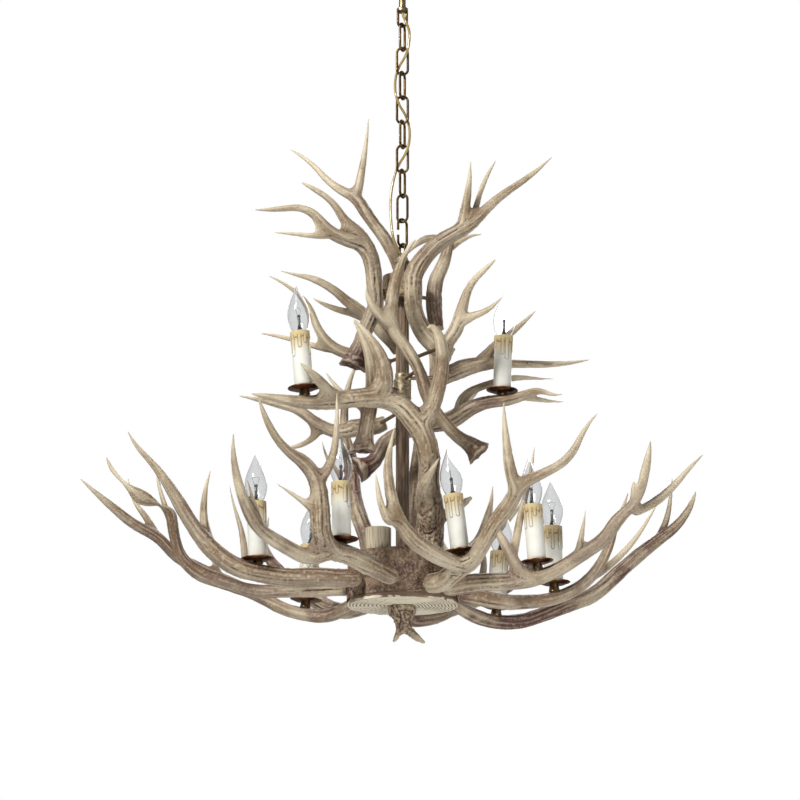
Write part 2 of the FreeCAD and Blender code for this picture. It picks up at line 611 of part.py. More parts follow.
antler("upper_cross_antler", above_stump(76, 81), 4,
       [(-74, 30, -68, 16), (-61, 32, -61, 16), (-45, 36, -47, 12), (-20, 40, -13, 12), (9, 40, 0, 12),
        (42, 34, 8, 13), (74, 22, 12, 13), (107, 4, 28, 12), (133, -6, 35, 11), (156, -14, 36, 10),
        (180, -22, 39, 8.5), (204, -30, 46, 6.5), (229, -38, 42, 4), (252, -44, 39, 1.5)],
       [[(87, 18, 16, 9), (108, 34, 63, 7.5), (142, 42, 79, 6), (178, 48, 89, 5.5), (208, 52, 90, 3.5),
         (246, 56, 89, 1.5)],
        [(191, -26, 40, 6.5), (222, -20, 35, 4), (256, -14, 34, 1.5)]])

antler("crown_fork_antler", below_drum(-46, 102), 0,
       [(55, -56, 0, 11), (66, -58, 19, 11.5), (79, -62, 41, 11), (87, -68, 69, 9),
        (98, -74, 100, 6.5), (119, -80, 125, 5), (141, -84, 145, 1.5)],
       [[(80, -62, 44, 8.5), (99, -70, 53, 7), (120, -76, 60, 5.5), (149, -84, 82, 1.5)]])

antler("upper_left_antler", below_drum(101, 78), 0,
       [(-4, 17, 0, 10.5), (-17, 11, 17, 10.5), (-38, 7, 38, 9.5), (-60, 1, 60, 9.5), (-83, -5, 76, 9),
        (-107, -11, 95, 7.5), (-131, -15, 109, 6.5), (-162, -19, 118, 4), (-194, -23, 125, 1.5)],
       [[(-50, 5, 47, 7.5), (-77, 13, 63, 6.5), (-102, 19, 72, 5.5), (-144, 27, 94, 1.5)]])

antler("upper_left_back_antler", below_ball(108, 33.5), 0,
       [(-24, 74, 0, 11.5), (-50, 74, -8, 14), (-79, 74, -11, 14.5), (-105, 74, -15, 11.5),
        (-134, 72, -3, 10), (-163, 70, 18, 9), (-194, 66, 28, 7.5), (-225, 62, 34, 5),
        (-263, 56, 40, 1.5)],
       [[(-128, 72, -8, 7.5), (-147, 84, -27, 5.5), (-174, 96, -36, 4), (-203, 104, -33, 1.5)]])

antler("crown_left_antler", drum_side(-149, 7), 5,
       [(-53, -4, -121, 17.5), (-47, -4, -107, 17), (-39, -6, -86, 13.5), (-25, -8, -45, 13),
        (-15, -10, -16, 13), (-16, -11, -1, 13), (-17, -12, 13, 13), (-22, -16, 51, 13), (-38, -22, 86, 12),
        (-57, -28, 106, 9.5), (-78, -34, 134, 6.5), (-105, -40, 158, 5), (-136, -46, 174, 1.5)],
       [[(-42, -24, 79, 11.5), (-68, -36, 83, 11), (-93, -46, 95, 10), (-117, -54, 119, 7),
         (-167, -64, 123, 5), (-209, -72, 119, 1.5)],
        [(-82, -42, 88, 7), (-115, -52, 82, 5), (-146, -58, 83, 3.5), (-177, -62, 84, 1.5)]],
       spacer=True)

antler("crown_right_antler", drum_side(-70, 7), 5,
       [(68, -2, -107, 12), (49, -4, -98, 13.5), (30, -6, -79, 14.5), (12, -10, -47, 14.5),
        (6, -16, -18, 14.5), (6, -17, -2, 14.5), (6, -19, 14, 14.5), (20, -19, 47, 14), (51, -18, 79, 13),
        (88, -18, 101, 11.5), (119, -20, 128, 9), (171, -24, 170, 6), (231, -36, 216, 1.5)],
       [[(83, -18, 98, 8.5), (91, -24, 138, 7.5), (96, -28, 172, 5), (99, -32, 211, 1.5)],
        [(104, -19, 113, 7), (111, -6, 152, 5), (124, 4, 191, 4), (142, 10, 226, 1.5)]])

antler("crown_rear_antler", drum_side(37, 13), 2,
       [(30, 17, -52, 12), (27, 17, -28, 13), (26, 19, 0, 13), (29, 23, 33, 11.5), (42, 27, 67, 10),
        (47, 31, 97, 8), (26, 39, 111, 6.5), (0, 47, 105, 5), (-26, 53, 78, 1.5)],
       [[(42, 29, 79, 6.5), (64, 41, 103, 5.5), (86, 51, 118, 3.5), (106, 59, 124, 1.5)]])

antler("crown_top_antler", drum_side(91, 32), 0,
       [(0, 15, 12, 10.5), (-8, 16, 46, 10.5), (-36, 20, 101, 10.5), (-58, 24, 133, 10.5),
        (-78, 28, 162, 10.5), (-98, 32, 175, 8.5), (-119, 36, 192, 6.5), (-140, 40, 215, 5),
        (-187, 48, 254, 1.5)],
       [[(-76, 28, 160, 9), (-68, 20, 197, 7), (-61, 14, 241, 4.5), (-55, 8, 294, 1.5)]])
# The finial: a small burr and fork, hung upside down under the end-grain disc.
finial_seat = V(0, 0, lamp_zero - seat_gap)
finial = limb([(0, 0, 0, 19), (0, 0, -6, 20), (1, 0, -14, 15), (2, 0, -24, 10.5), (2, 0, -34, 8.5),
               (2, 0, -42, 6)], finial_seat)
finial = finial.multiFuse([limb([(1, 0, -30, 6.5), (-6, 0, -43, 4.5), (-15, -1, -56, 1.5)], finial_seat),
                           limb([(3, 0, -30, 7), (14, 0, -42, 5.5), (35, 1, -57, 1.5)], finial_seat)])
save("finial_antler", finial.Solids[0])
screws.append(cylinder(stud_radius, lamp_zero - 20, disc_top - 1))
save("antler_screws", *screws)


# ---------------------------------------------------------------- candles
# Each candle stands on an antler: name, point of its beam, rise of the dish, lean to X and Y.
candle_seats = [
    ("trunk_antler", 11, 7, -0.082, 0),
    ("upper_cross_antler", 9, 2.5, 0.038, 0),
    ("left_antler", 4, 4, -0.034, 0),
    ("front_left_antler", 3, 2.5, -0.017, 0.03),
    ("front_right_antler", 2, 7, -0.115, 0.03),
    ("right_antler", 4, 8, -0.069, 0),
    ("right_middle_antler", 5, 11, -0.017, 0),
    ("left_rear_antler", 3, 9, 0.069, 0),
    ("right_rear_antler", 3, 9, 0.069, 0),
]


# The flame shape of the glass, as shares of its radius and of its height above the sleeve.
bulb_outline = [(0.85, 0.16), (1, 0.32), (0.97, 0.44), (0.8, 0.6), (0.5, 0.78), (0.18, 0.94), (0, 1)]


def candle_pieces(rise):
    """The five pieces of one candle, standing on the origin."""
    dish_bottom = rise
    dish_top = dish_bottom + dish_depth
    dish_upper = dish_bottom + dish_thickness
    sleeve_bottom = dish_upper + seat_gap
    sleeve_top = sleeve_bottom + sleeve_length
    holder_top = sleeve_top - holder_drop
    socket_bottom = holder_top - socket_depth
    post = lathe([(0, -stud_depth), (post_radius, -stud_depth), (post_radius, 0), (boss_radius, 0),
                  (boss_top_radius, rise), (post_radius, rise), (post_radius, dish_upper + stud_depth),
                  (0, dish_upper + stud_depth)])
    hole = post_radius + slip_fit
    dish_flare = dish_bottom + dish_depth * 0.45
    dish = lathe([(hole, dish_bottom), (dish_flat_radius, dish_bottom), (dish_radius * 0.8, dish_flare),
                  (dish_radius, dish_top), (dish_radius - dish_thickness, dish_top),
                  (dish_radius * 0.78, dish_flare + dish_thickness),
                  (dish_flat_radius, dish_upper), (hole, dish_upper)])
    inner = sleeve_radius - sleeve_wall
    cup_bottom = sleeve_top - sleeve_cup_height
    sleeve = lathe([(inner, sleeve_bottom), (sleeve_radius, sleeve_bottom),
                    (sleeve_radius, cup_bottom), (sleeve_cup_radius, cup_bottom + 2),
                    (sleeve_cup_radius, sleeve_top), (inner, sleeve_top)])
    holder_bottom = holder_top - holder_height
    holder = lathe([(hole, dish_upper + seat_gap), (hole + 3, dish_upper + seat_gap),
                    (hole + 3, holder_bottom), (holder_radius, holder_bottom),
                    (holder_radius, holder_top), (socket_radius, holder_top),
                    (socket_radius, socket_bottom), (hole, socket_bottom)])
    cap_bottom = holder_top - cap_shell_length
    glass_bottom = holder_top + seat_gap
    glass = [(bulb_radius * across, sleeve_top + bulb_length * up) for across, up in bulb_outline]
    inside = [(max(across - glass_wall, 0), up) for across, up in glass[:-1]]
    cap_inside = cap_shell_radius - glass_wall
    bulb = lathe([(1, cap_bottom - 1.5), (3, cap_bottom - 1.5), (cap_shell_radius, cap_bottom),
                  (cap_shell_radius, glass_bottom), (bulb_neck_radius, glass_bottom),
                  (bulb_neck_radius, glass_bottom + 5)] + glass
                 + [(0, sleeve_top + bulb_length - 2 * glass_wall)] + inside[::-1]
                 + [(bulb_neck_radius - glass_wall, glass_bottom + 5),
                    (bulb_neck_radius - glass_wall, glass_bottom + glass_wall),
                    (cap_inside, glass_bottom + glass_wall), (cap_inside, cap_bottom + glass_wall),
                    (1, cap_bottom + glass_wall)])
    return post, dish, sleeve, holder, bulb


groups = [[], [], [], [], []]
for name, point, rise, lean_x, lean_y in candle_seats:
    middle, radius = antlers[name][point]
    up = V(lean_x, lean_y, 1)
    up.normalize()
    foot = middle.add(up * (radius + seat_gap))
    place = FreeCAD.Placement(foot, FreeCAD.Rotation(V(0, 0, 1), up)).toMatrix()
    for group, piece in zip(groups, candle_pieces(rise)):
        group.append(piece.transformed(place))
nodes = ["candle_posts", "drip_dishes", "candle_sleeves", "lampholders", "candle_bulbs"]
for node, group in zip(nodes, groups):
    save(node, *group)
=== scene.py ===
import json
import math

import bpy
import numpy as np
from mathutils import Matrix, Vector
from mathutils.bvhtree import BVHTree


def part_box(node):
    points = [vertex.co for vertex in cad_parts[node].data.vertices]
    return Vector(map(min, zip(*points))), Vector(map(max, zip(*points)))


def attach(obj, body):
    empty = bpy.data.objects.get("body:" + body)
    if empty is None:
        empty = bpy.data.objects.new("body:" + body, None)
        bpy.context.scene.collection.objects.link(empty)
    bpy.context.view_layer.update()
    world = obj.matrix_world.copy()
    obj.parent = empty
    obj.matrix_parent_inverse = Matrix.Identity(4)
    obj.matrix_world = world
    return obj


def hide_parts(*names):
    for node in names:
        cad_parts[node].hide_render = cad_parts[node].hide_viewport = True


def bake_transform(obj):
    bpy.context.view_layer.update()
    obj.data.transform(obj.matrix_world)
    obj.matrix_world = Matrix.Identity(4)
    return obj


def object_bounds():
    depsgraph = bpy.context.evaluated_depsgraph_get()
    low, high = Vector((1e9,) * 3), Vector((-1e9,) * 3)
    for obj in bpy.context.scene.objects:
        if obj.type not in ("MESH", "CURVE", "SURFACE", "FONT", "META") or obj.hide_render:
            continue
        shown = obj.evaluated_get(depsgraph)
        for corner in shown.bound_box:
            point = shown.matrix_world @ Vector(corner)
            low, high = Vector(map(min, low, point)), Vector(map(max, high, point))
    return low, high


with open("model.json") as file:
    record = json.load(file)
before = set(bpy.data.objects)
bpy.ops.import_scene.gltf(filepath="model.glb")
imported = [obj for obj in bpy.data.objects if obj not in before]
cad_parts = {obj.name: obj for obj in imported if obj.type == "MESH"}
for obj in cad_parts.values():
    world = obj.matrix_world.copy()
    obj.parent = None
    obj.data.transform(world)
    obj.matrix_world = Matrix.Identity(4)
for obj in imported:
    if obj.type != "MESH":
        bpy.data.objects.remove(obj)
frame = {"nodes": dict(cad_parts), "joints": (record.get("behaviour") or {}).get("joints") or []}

cad_box = [list(corner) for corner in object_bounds()]

# ---------------------------------------------------------------- view and light
# The lamp hangs in a plain white studio and is seen from below, 14 degrees up.  A soft lamp stands
# high on the left, a weaker one low on the right and one behind; the surroundings fill the shade.
def added(name, data):
    """A new object in the scene."""
    thing = bpy.data.objects.new(name, data)
    bpy.context.collection.objects.link(thing)
    return thing


camera = added("camera", bpy.data.cameras.new("camera"))
camera.data.lens = 129.4
camera.location = (-0.004, -4.4634, -1.8628)
look_up = math.radians(14)
camera.rotation_euler = (math.pi / 2 + look_up, 0, 0)
bpy.context.scene.camera = camera
bpy.context.scene.view_settings.view_transform = "Standard"


def soft_lamp(name, place, aim, width, watts, colour):
    """A square lamp of a width in metres, turned to what it lights."""
    lamp = added(name, bpy.data.lights.new(name, "AREA"))
    lamp.data.shape = "SQUARE"
    lamp.data.size = width
    lamp.data.energy = watts
    lamp.data.color = colour
    lamp.location = place
    lamp.rotation_euler = (Vector(aim) - Vector(place)).to_track_quat("-Z", "Y").to_euler()


middle_of_lamp = (0, 0, -0.75)
stump_of_lamp = (0, 0, -0.95)
soft_lamp("high_left_lamp", (-2.0, -2.2, 1.5), middle_of_lamp, 0.8, 150, (1, 0.975, 0.91))
soft_lamp("low_right_lamp", (1.5, -2.6, -2.1), stump_of_lamp, 1.0, 42, (1, 0.975, 0.93))
soft_lamp("rear_lamp", (0.8, 2.6, 0.6), middle_of_lamp, 1.6, 30, (1, 0.98, 0.95))


def glow(tree, colour, strength):
    """The light of plain surroundings."""
    ground = tree.nodes.new("ShaderNodeBackground")
    ground.inputs["Color"].default_value = colour
    ground.inputs["Strength"].default_value = strength
    return ground.outputs[0]


def mixed(tree, share, first, second):
    """Two shaders mixed by a share."""
    mix = tree.nodes.new("ShaderNodeMixShader")
    for socket, what in zip(mix.inputs, (share, first, second)):
        tree.links.new(what, socket)
    return mix.outputs[0]


def multiplied(tree, first, second, held=False):
    """Two values multiplied, the second a socket or a number; held keeps the product under 1."""
    product = tree.nodes.new("ShaderNodeMath")
    product.operation = "MULTIPLY"
    product.use_clamp = held
    tree.links.new(first, product.inputs[0])
    if isinstance(second, float):
        product.inputs[1].default_value = second
    else:
        tree.links.new(second, product.inputs[1])
    return product.outputs[0]


studio = bpy.data.worlds.new("studio")
bpy.context.scene.world = studio
studio.use_nodes = True
# Seen straight or through glass the studio is white; mirrored in metal or lighting the lamp it is dimmer.
tree = studio.node_tree
tree.nodes.clear()
rays = tree.nodes.new("ShaderNodeLightPath")
seen = tree.nodes.new("ShaderNodeMath")
seen.operation = "MAXIMUM"
tree.links.new(rays.outputs["Is Camera Ray"], seen.inputs[0])
tree.links.new(rays.outputs["Is Transmission Ray"], seen.inputs[1])
fill, mirrored = glow(tree, (1, 0.985, 0.96, 1), 0.17), glow(tree, (0.8, 0.8, 0.8, 1), 0.46)
dimmer = mixed(tree, rays.outputs["Is Glossy Ray"], fill, mirrored)
all_round = mixed(tree, seen.outputs[0], dimmer, glow(tree, (1, 1, 1, 1), 1))
tree.links.new(all_round, tree.nodes.new("ShaderNodeOutputWorld").inputs["Surface"])

floor_height = -2.4
bpy.ops.mesh.primitive_plane_add(size=40, location=(0, 0, floor_height))
floor = bpy.context.object
floor.name = "studio_floor"
pale = bpy.data.materials.new("pale_floor")
pale.use_nodes = True
tree = pale.node_tree
tree.nodes["Principled BSDF"].inputs["Base Color"].default_value = (0.85, 0.85, 0.84, 1)
tree.nodes["Principled BSDF"].inputs["Roughness"].default_value = 0.8
# To the camera the floor is nearly as bright as the studio; on the lamp it throws little light.
bright = tree.nodes.new("ShaderNodeEmission")
bright.inputs["Strength"].default_value = 0.9
plain = tree.nodes["Principled BSDF"].outputs[0]
by_camera = tree.nodes.new("ShaderNodeLightPath").outputs["Is Camera Ray"]
surface = mixed(tree, multiplied(tree, by_camera, 0.82), plain, bright.outputs[0])
tree.links.new(surface, tree.nodes["Material Output"].inputs["Surface"])
floor.data.materials.append(pale)


# ---------------------------------------------------------------- cable
# The lamp's flex: a limp cable in a translucent gold sheath, threaded from side to side through the
# chain.  It leaves the stem, hangs in a bow on the left of the last links and goes down the cap.
def finish_of(name, roughness, metallic=0.0):
    """A new material, its node tree and its shader."""
    material = bpy.data.materials.new(name)
    material.use_nodes = True
    shader = material.node_tree.nodes["Principled BSDF"]
    shader.inputs["Roughness"].default_value = roughness
    shader.inputs["Metallic"].default_value = metallic
    return material, material.node_tree, shader


def position(tree, stretch=(1, 1, 1)):
    """Object coordinates in metres, stretched."""
    place = tree.nodes.new("ShaderNodeTexCoord")
    mapping = tree.nodes.new("ShaderNodeMapping")
    mapping.inputs["Scale"].default_value = stretch
    tree.links.new(place.outputs["Object"], mapping.inputs["Vector"])
    return mapping.outputs["Vector"]


def cloud(tree, vector, scale, detail=4, roughness=0.55):
    """A soft noise of so many waves per metre."""
    noise = tree.nodes.new("ShaderNodeTexNoise")
    noise.inputs["Scale"].default_value = scale
    noise.inputs["Detail"].default_value = detail
    noise.inputs["Roughness"].default_value = roughness
    tree.links.new(vector, noise.inputs["Vector"])
    return noise.outputs["Fac"]


def between(tree, value, low, high, to_low=0.0, to_high=1.0):
    """A value spread from one range to another, held at its ends."""
    spread = tree.nodes.new("ShaderNodeMapRange")
    spread.interpolation_type = "SMOOTHSTEP"
    for socket, number in zip(("From Min", "From Max", "To Min", "To Max"), (low, high, to_low, to_high)):
        spread.inputs[socket].default_value = number
    tree.links.new(value, spread.inputs["Value"])
    return spread.outputs["Result"]


def blended(tree, share, first, second, way="MIX"):
    """Two colours, or values, mixed by a share; each is a socket or a plain colour."""
    mix = tree.nodes.new("ShaderNodeMix")
    mix.data_type = "RGBA"
    mix.blend_type = way
    for socket, what in ((mix.inputs["Factor"], share), (mix.inputs[6], first), (mix.inputs[7], second)):
        if isinstance(what, (tuple, float, int)):
            socket.default_value = what
        else:
            tree.links.new(what, socket)
    return mix.outputs[2]


def raised(tree, shader, height, depth):
    """A bump of that depth in metres."""
    bump = tree.nodes.new("ShaderNodeBump")
    bump.inputs["Distance"].default_value = depth
    tree.links.new(height, bump.inputs["Height"])
    tree.links.new(bump.outputs["Normal"], shader.inputs["Normal"])


cable_sheath, tree, shader = finish_of("cable_sheath", 0.22)
gold = blended(tree, cloud(tree, position(tree), 60), (0.42, 0.3, 0.1, 1), (0.24, 0.19, 0.07, 1))
tree.links.new(gold, shader.inputs["Base Color"])
shader.inputs["Coat Weight"].default_value = 0.6
shader.inputs["Subsurface Weight"].default_value = 0.1

# The hinges of the chain follow each other down its middle line.
hinge_heights = [joint["pos_m"][2] for joint in frame["joints"]]
cap_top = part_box("top_cap")[1].z
collar_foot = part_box("stem_collar")[0].z
cable_radius = 0.00225


def link_middle(k):
    """Height of the middle of chain link k, counted from 1."""
    low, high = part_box("chain_link_%d" % k)
    return (low.z + high.z) / 2


cable_side = 0.013
route = [(0, 0, -0.003), (0, 0, collar_foot + 0.03), (0, 0, collar_foot - 0.005),
         (0.006, -0.01, collar_foot - 0.022), (cable_side, -0.005, collar_foot - 0.038)]
side = 1
for k in (2, 4, 6):
    route.append((0.009 * side, -0.008, link_middle(k) + 0.012))
    route.append((-0.009 * side, 0.008, link_middle(k) - 0.012))
    side = -side
    if k < 6:
        route.append((cable_side * side, 0, link_middle(k + 1)))
route += [(-0.017, 0.005, link_middle(7) - 0.002), (-0.02, 0.001, link_middle(8) + 0.008),
          (-0.0185, -0.004, link_middle(8) - 0.022), (-0.017, -0.009, link_middle(9) + 0.001),
          (-0.0138, -0.0108, cap_top + 0.026), (-0.0067, -0.0052, cap_top + 0.012),
          (0, 0, cap_top + 0.002), (0, 0, cap_top - 0.03), (0, 0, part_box("terminal_block")[1].z)]


def alone(piece):
    """Only this piece is selected and active."""
    bpy.ops.object.select_all(action="DESELECT")
    piece.select_set(True)
    bpy.context.view_layer.objects.active = piece


def wire(name, points, radius, fineness, roundness):
    """A round wire drawn smoothly along points, as a mesh."""
    line = bpy.data.curves.new(name, "CURVE")
    line.dimensions = "3D"
    spline = line.splines.new("NURBS")
    spline.points.add(len(points) - 1)
    for point, spot in zip(spline.points, points):
        point.co = (*spot, 1)
    spline.order_u = 3
    spline.use_endpoint_u = True
    spline.resolution_u = fineness
    line.bevel_depth = radius
    line.bevel_resolution = roundness
    line.use_fill_caps = True
    alone(added(name, line))
    bpy.ops.object.convert(target="MESH")
    bpy.ops.object.shade_smooth()
    return bpy.context.object


flex = wire("flex", route, cable_radius, 10, 5)
flex.data.materials.append(cable_sheath)


def opened(piece):
    """The piece alone, its mesh open for changes and all of it selected."""
    alone(piece)
    bpy.ops.object.mode_set(mode="EDIT")
    bpy.ops.mesh.select_all(action="SELECT")


def part_between(piece, name, top, bottom):
    """A copy of a long piece, cut off above top and below bottom."""
    copy = added(name, piece.data.copy())
    opened(copy)
    for height, gone_above in ((top, True), (bottom, False)):
        bpy.ops.mesh.select_all(action="SELECT")
        bpy.ops.mesh.bisect(plane_co=(0, 0, height), plane_no=(0, 0, 1), clear_outer=gone_above,
                            clear_inner=not gone_above)
    bpy.ops.object.mode_set(mode="OBJECT")
    return copy


# The cable is cut into one stretch for each hinge of the chain, cut at the middles of the links.
above_all, below_all = 0.001, -2.0
cuts = [above_all] + [link_middle(k) for k in range(1, 10)] + [below_all]
for k, height in enumerate(hinge_heights):
    stretch = part_between(flex, "flex_%d" % (k + 1), cuts[k], cuts[k + 1])
    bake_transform(stretch)
    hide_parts("power_cable")
bpy.data.objects.remove(flex)


# ---------------------------------------------------------------- ceiling fitting
# A zinc-plated strap screwed to the ceiling, a threaded brass stem with its locknut, and a spun
# brass cup that a small neck clamps on the stem.  The brass is darkened and rubbed back.
def metal(name, dark, bright, roughness, waves):
    """An antiqued metal: dark in its cloudy patches and in fine specks, bright where it is rubbed."""
    material, tree, shader = finish_of(name, roughness, 1.0)
    place = position(tree)
    patches = between(tree, cloud(tree, place, waves), 0.35, 0.68)
    specks = between(tree, cloud(tree, place, waves * 11, 2), 0.42, 0.6)
    worn = blended(tree, patches, (*dark, 1), (*bright, 1))
    darkest = tuple(0.72 * part for part in dark)
    tree.links.new(blended(tree, specks, (*darkest, 1), worn), shader.inputs["Base Color"])
    dull = between(tree, cloud(tree, place, waves * 3), 0.3, 0.7, roughness - 0.08, roughness + 0.14)
    tree.links.new(dull, shader.inputs["Roughness"])
    raised(tree, shader, cloud(tree, place, waves * 14, 3), 0.00025)
    return material


def dress(node, material):
    """A CAD piece keeps its shape and gets its finish."""
    piece = frame["nodes"][node]
    piece.data.materials.clear()
    piece.data.materials.append(material)


zinc = metal("zinc_plate", (0.42, 0.42, 0.41), (0.66, 0.66, 0.64), 0.34, 90)
antique_brass = metal("antique_brass", (0.25, 0.175, 0.09), (0.6, 0.5, 0.33), 0.34, 40)
for node in ("ceiling_bracket", "stem_locknut"):
    dress(node, zinc)
for node in ("ceiling_stem", "stem_collar", "ceiling_canopy"):
    dress(node, antique_brass)

# ---------------------------------------------------------------- chain
# Oval links bent from 4 mm round wire and plated antique bronze, nearly black in patches.  The
# last link has an open side, and wire bows tie the chain to the stem above and to the lamp below.
bronze = metal("antique_bronze", (0.06, 0.036, 0.016), (0.27, 0.175, 0.075), 0.32, 55)
for node in ["ceiling_bow", "lamp_bow"] + ["chain_link_%d" % k for k in range(1, 10)]:
    dress(node, bronze)

# ---------------------------------------------------------------- column and hubs
# A brown fluted column on a steel tube, with a turned drum and a turned ball of pale brass where
# the upper antlers are screwed on with bronze screws.  A brass cap closes its top.
brown_lacquer, tree, shader = finish_of("brown_lacquer", 0.38)
place = position(tree, (1, 1, 0.15))
streaked = between(tree, cloud(tree, place, 160), 0.35, 0.65)
tree.links.new(blended(tree, streaked, (0.1, 0.065, 0.043, 1), (0.29, 0.205, 0.138, 1)),
               shader.inputs["Base Color"])
raised(tree, shader, cloud(tree, place, 500), 0.0004)
dress("column", brown_lacquer)
pale_brass = metal("pale_brass", (0.5, 0.4, 0.26), (0.78, 0.68, 0.5), 0.36, 22)
for node in ("top_cap", "drum_hub", "ball_hub"):
    dress(node, pale_brass)
dress("antler_screws", metal("screw_bronze", (0.26, 0.185, 0.11), (0.5, 0.39, 0.25), 0.38, 90))
for node in ("centre_tube", "stump_nut"):
    dress(node, zinc)

# ---------------------------------------------------------------- stump
# The body of the lamp is cast to look like a sawn log: a rough shell of bark with upright ridges
# and cracks, closed below by a pale slice of end grain, with a sawn stub of timber on its top.
def lumps(places, size, seed):
    """Smooth noise from -1 to 1 at places, in lumps of a size in metres."""
    cell = places / size + 1000.0
    base = np.floor(cell).astype(np.int64)
    share = cell - base
    share = share * share * (3 - 2 * share)
    total = np.zeros(len(places))
    for corner in range(8):
        step = np.array([corner & 1, corner >> 1 & 1, corner >> 2 & 1])
        key = (base + step) @ np.array([73856093, 19349663, 83492791]) + seed * 7919
        key = (key ^ (key >> 13)) * 1274126177
        value = ((key ^ (key >> 16)) & 65535) / 32767.5 - 1
        total += value * np.prod(np.where(step, share, 1 - share), axis=1)
    return total


def listed(items, what, width=1, kind=float):
    """One property of all points, corners or faces of a mesh, in rows of a width."""
    values = np.zeros(len(items) * width, kind)
    items.foreach_get(what, values)
    return values.reshape(-1, width) if width > 1 else values


def points_of(piece):
    """Where the points of a piece are, and which way its surface faces there."""
    return listed(piece.data.vertices, "co", 3), listed(piece.data.vertices, "normal", 3)


def set_points(piece, places):
    """The points of a piece moved to places."""
    piece.data.vertices.foreach_set("co", places.ravel())
    piece.data.update()


def keep_value(piece, name, values):
    """A number kept at each point, for the finish to read."""
    piece.data.attributes.new(name, "FLOAT", "POINT").data.foreach_set("value", values.astype(np.float32))


def value_of(tree, name):
    """The number that keep_value kept, as the finish reads it."""
    reader = tree.nodes.new("ShaderNodeAttribute")
    reader.attribute_name = name
    return reader.outputs["Fac"]


def laid_over(tree, tone, value, spread, colour):
    """A tone with a colour over it, as far as a value lies in a range; spread is what between takes."""
    return blended(tree, between(tree, value, *spread), tone, (*colour, 1))


def cut_round(heights):
    """Rings of edges round the piece in edit mode, at heights."""
    for height in heights:
        bpy.ops.mesh.select_all(action="SELECT")
        bpy.ops.mesh.bisect(plane_co=(0, 0, height), plane_no=(0, 0, 1))


shell_low, shell_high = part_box("stump_shell")
stump_radius = (shell_high.x - shell_low.x) / 2
stump_depth = shell_high.z - shell_low.z
bpy.ops.mesh.primitive_cylinder_add(vertices=300, radius=stump_radius, depth=stump_depth,
                                    location=(0, 0, (shell_low.z + shell_high.z) / 2),
                                    end_fill_type="NOTHING")
bark = bpy.context.object
bark.name = "stump_bark"
alone(bark)
bpy.ops.object.transform_apply()
bpy.ops.object.mode_set(mode="EDIT")
rings = 56
cut_round(shell_low.z + stump_depth * k / rings for k in range(1, rings))
bpy.ops.object.mode_set(mode="OBJECT")
top_ring = [v.co.z > shell_high.z - 0.0005 for v in bark.data.vertices]
for edge in bark.data.edges:
    edge.select = all(top_ring[v] for v in edge.vertices)
for face in bark.data.polygons:
    face.select = False
for vertex, picked in zip(bark.data.vertices, top_ring):
    vertex.select = picked
bpy.ops.object.mode_set(mode="EDIT")
bpy.ops.mesh.select_mode(type="EDGE")
for inward in (0.97, 0.93, 0.9, 0.9, 0.9, 0.88, 0.85, 0.8, 0.7, 0.5):
    bpy.ops.mesh.extrude_region_move()
    bpy.ops.transform.resize(value=(inward, inward, 1), center_override=(0, 0, shell_high.z))
bpy.ops.mesh.select_all(action="SELECT")
bpy.ops.mesh.normals_make_consistent(inside=False)
bpy.ops.object.mode_set(mode="OBJECT")
bark.data.update()
places, facing = points_of(bark)
upright = places * np.array([1, 1, 0.28])
ridges = lumps(upright, 0.011, 1) * 0.9 + lumps(upright, 0.0055, 2) * 0.5
cracks = np.clip(0.22 - np.abs(lumps(upright, 0.017, 3) + 0.3 * lumps(places, 0.006, 4)), 0, 1) / 0.22
plates = lumps(places, 0.03, 5)
grit = lumps(places, 0.003, 6)
knobs = np.clip(lumps(places, 0.0065, 7) - 0.15, 0, 1)
depth = 0.0004 + 0.0009 * ridges + 0.0005 * plates + 0.0009 * grit + 0.0016 * knobs - 0.0018 * cracks
above_edge = np.clip((places[:, 2] - shell_low.z) / 0.003, 0, 1)
depth = np.clip(depth - 0.0012, -0.006, 0.0014) * (0.3 + 0.7 * above_edge)
places += facing * depth[:, None]
set_points(bark, places)
keep_value(bark, "crack", np.clip(cracks - 0.5 * ridges, 0, 1) * np.clip(0.6 + plates, 0.25, 1))
keep_value(bark, "ridge", np.clip(0.5 + 0.5 * ridges, 0, 1))
bpy.ops.object.shade_smooth()
bark_cast, tree, shader = finish_of("bark_cast", 0.62)
place = position(tree)
brown = blended(tree, between(tree, cloud(tree, place, 38), 0.38, 0.62),
                (0.085, 0.042, 0.034, 1), (0.225, 0.15, 0.095, 1))
brown = laid_over(tree, brown, cloud(tree, place, 210, 7, 0.7), (0.46, 0.58, 0.0, 0.8), (0.37, 0.275, 0.185))
brown = laid_over(tree, brown, cloud(tree, place, 520, 6, 0.7), (0.52, 0.64, 0.0, 0.85), (0.06, 0.03, 0.02))
brown = laid_over(tree, brown, value_of(tree, "ridge"), (0.6, 1.0, 0.0, 0.7), (0.28, 0.195, 0.125))
brown = laid_over(tree, brown, value_of(tree, "crack"), (0.25, 0.9, 0.0, 0.9), (0.03, 0.015, 0.011))
tree.links.new(brown, shader.inputs["Base Color"])
raised(tree, shader, cloud(tree, position(tree, (1, 1, 0.4)), 420, 8), 0.0016)
bark.data.materials.append(bark_cast)
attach(bark, "lamp")
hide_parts("stump_shell")


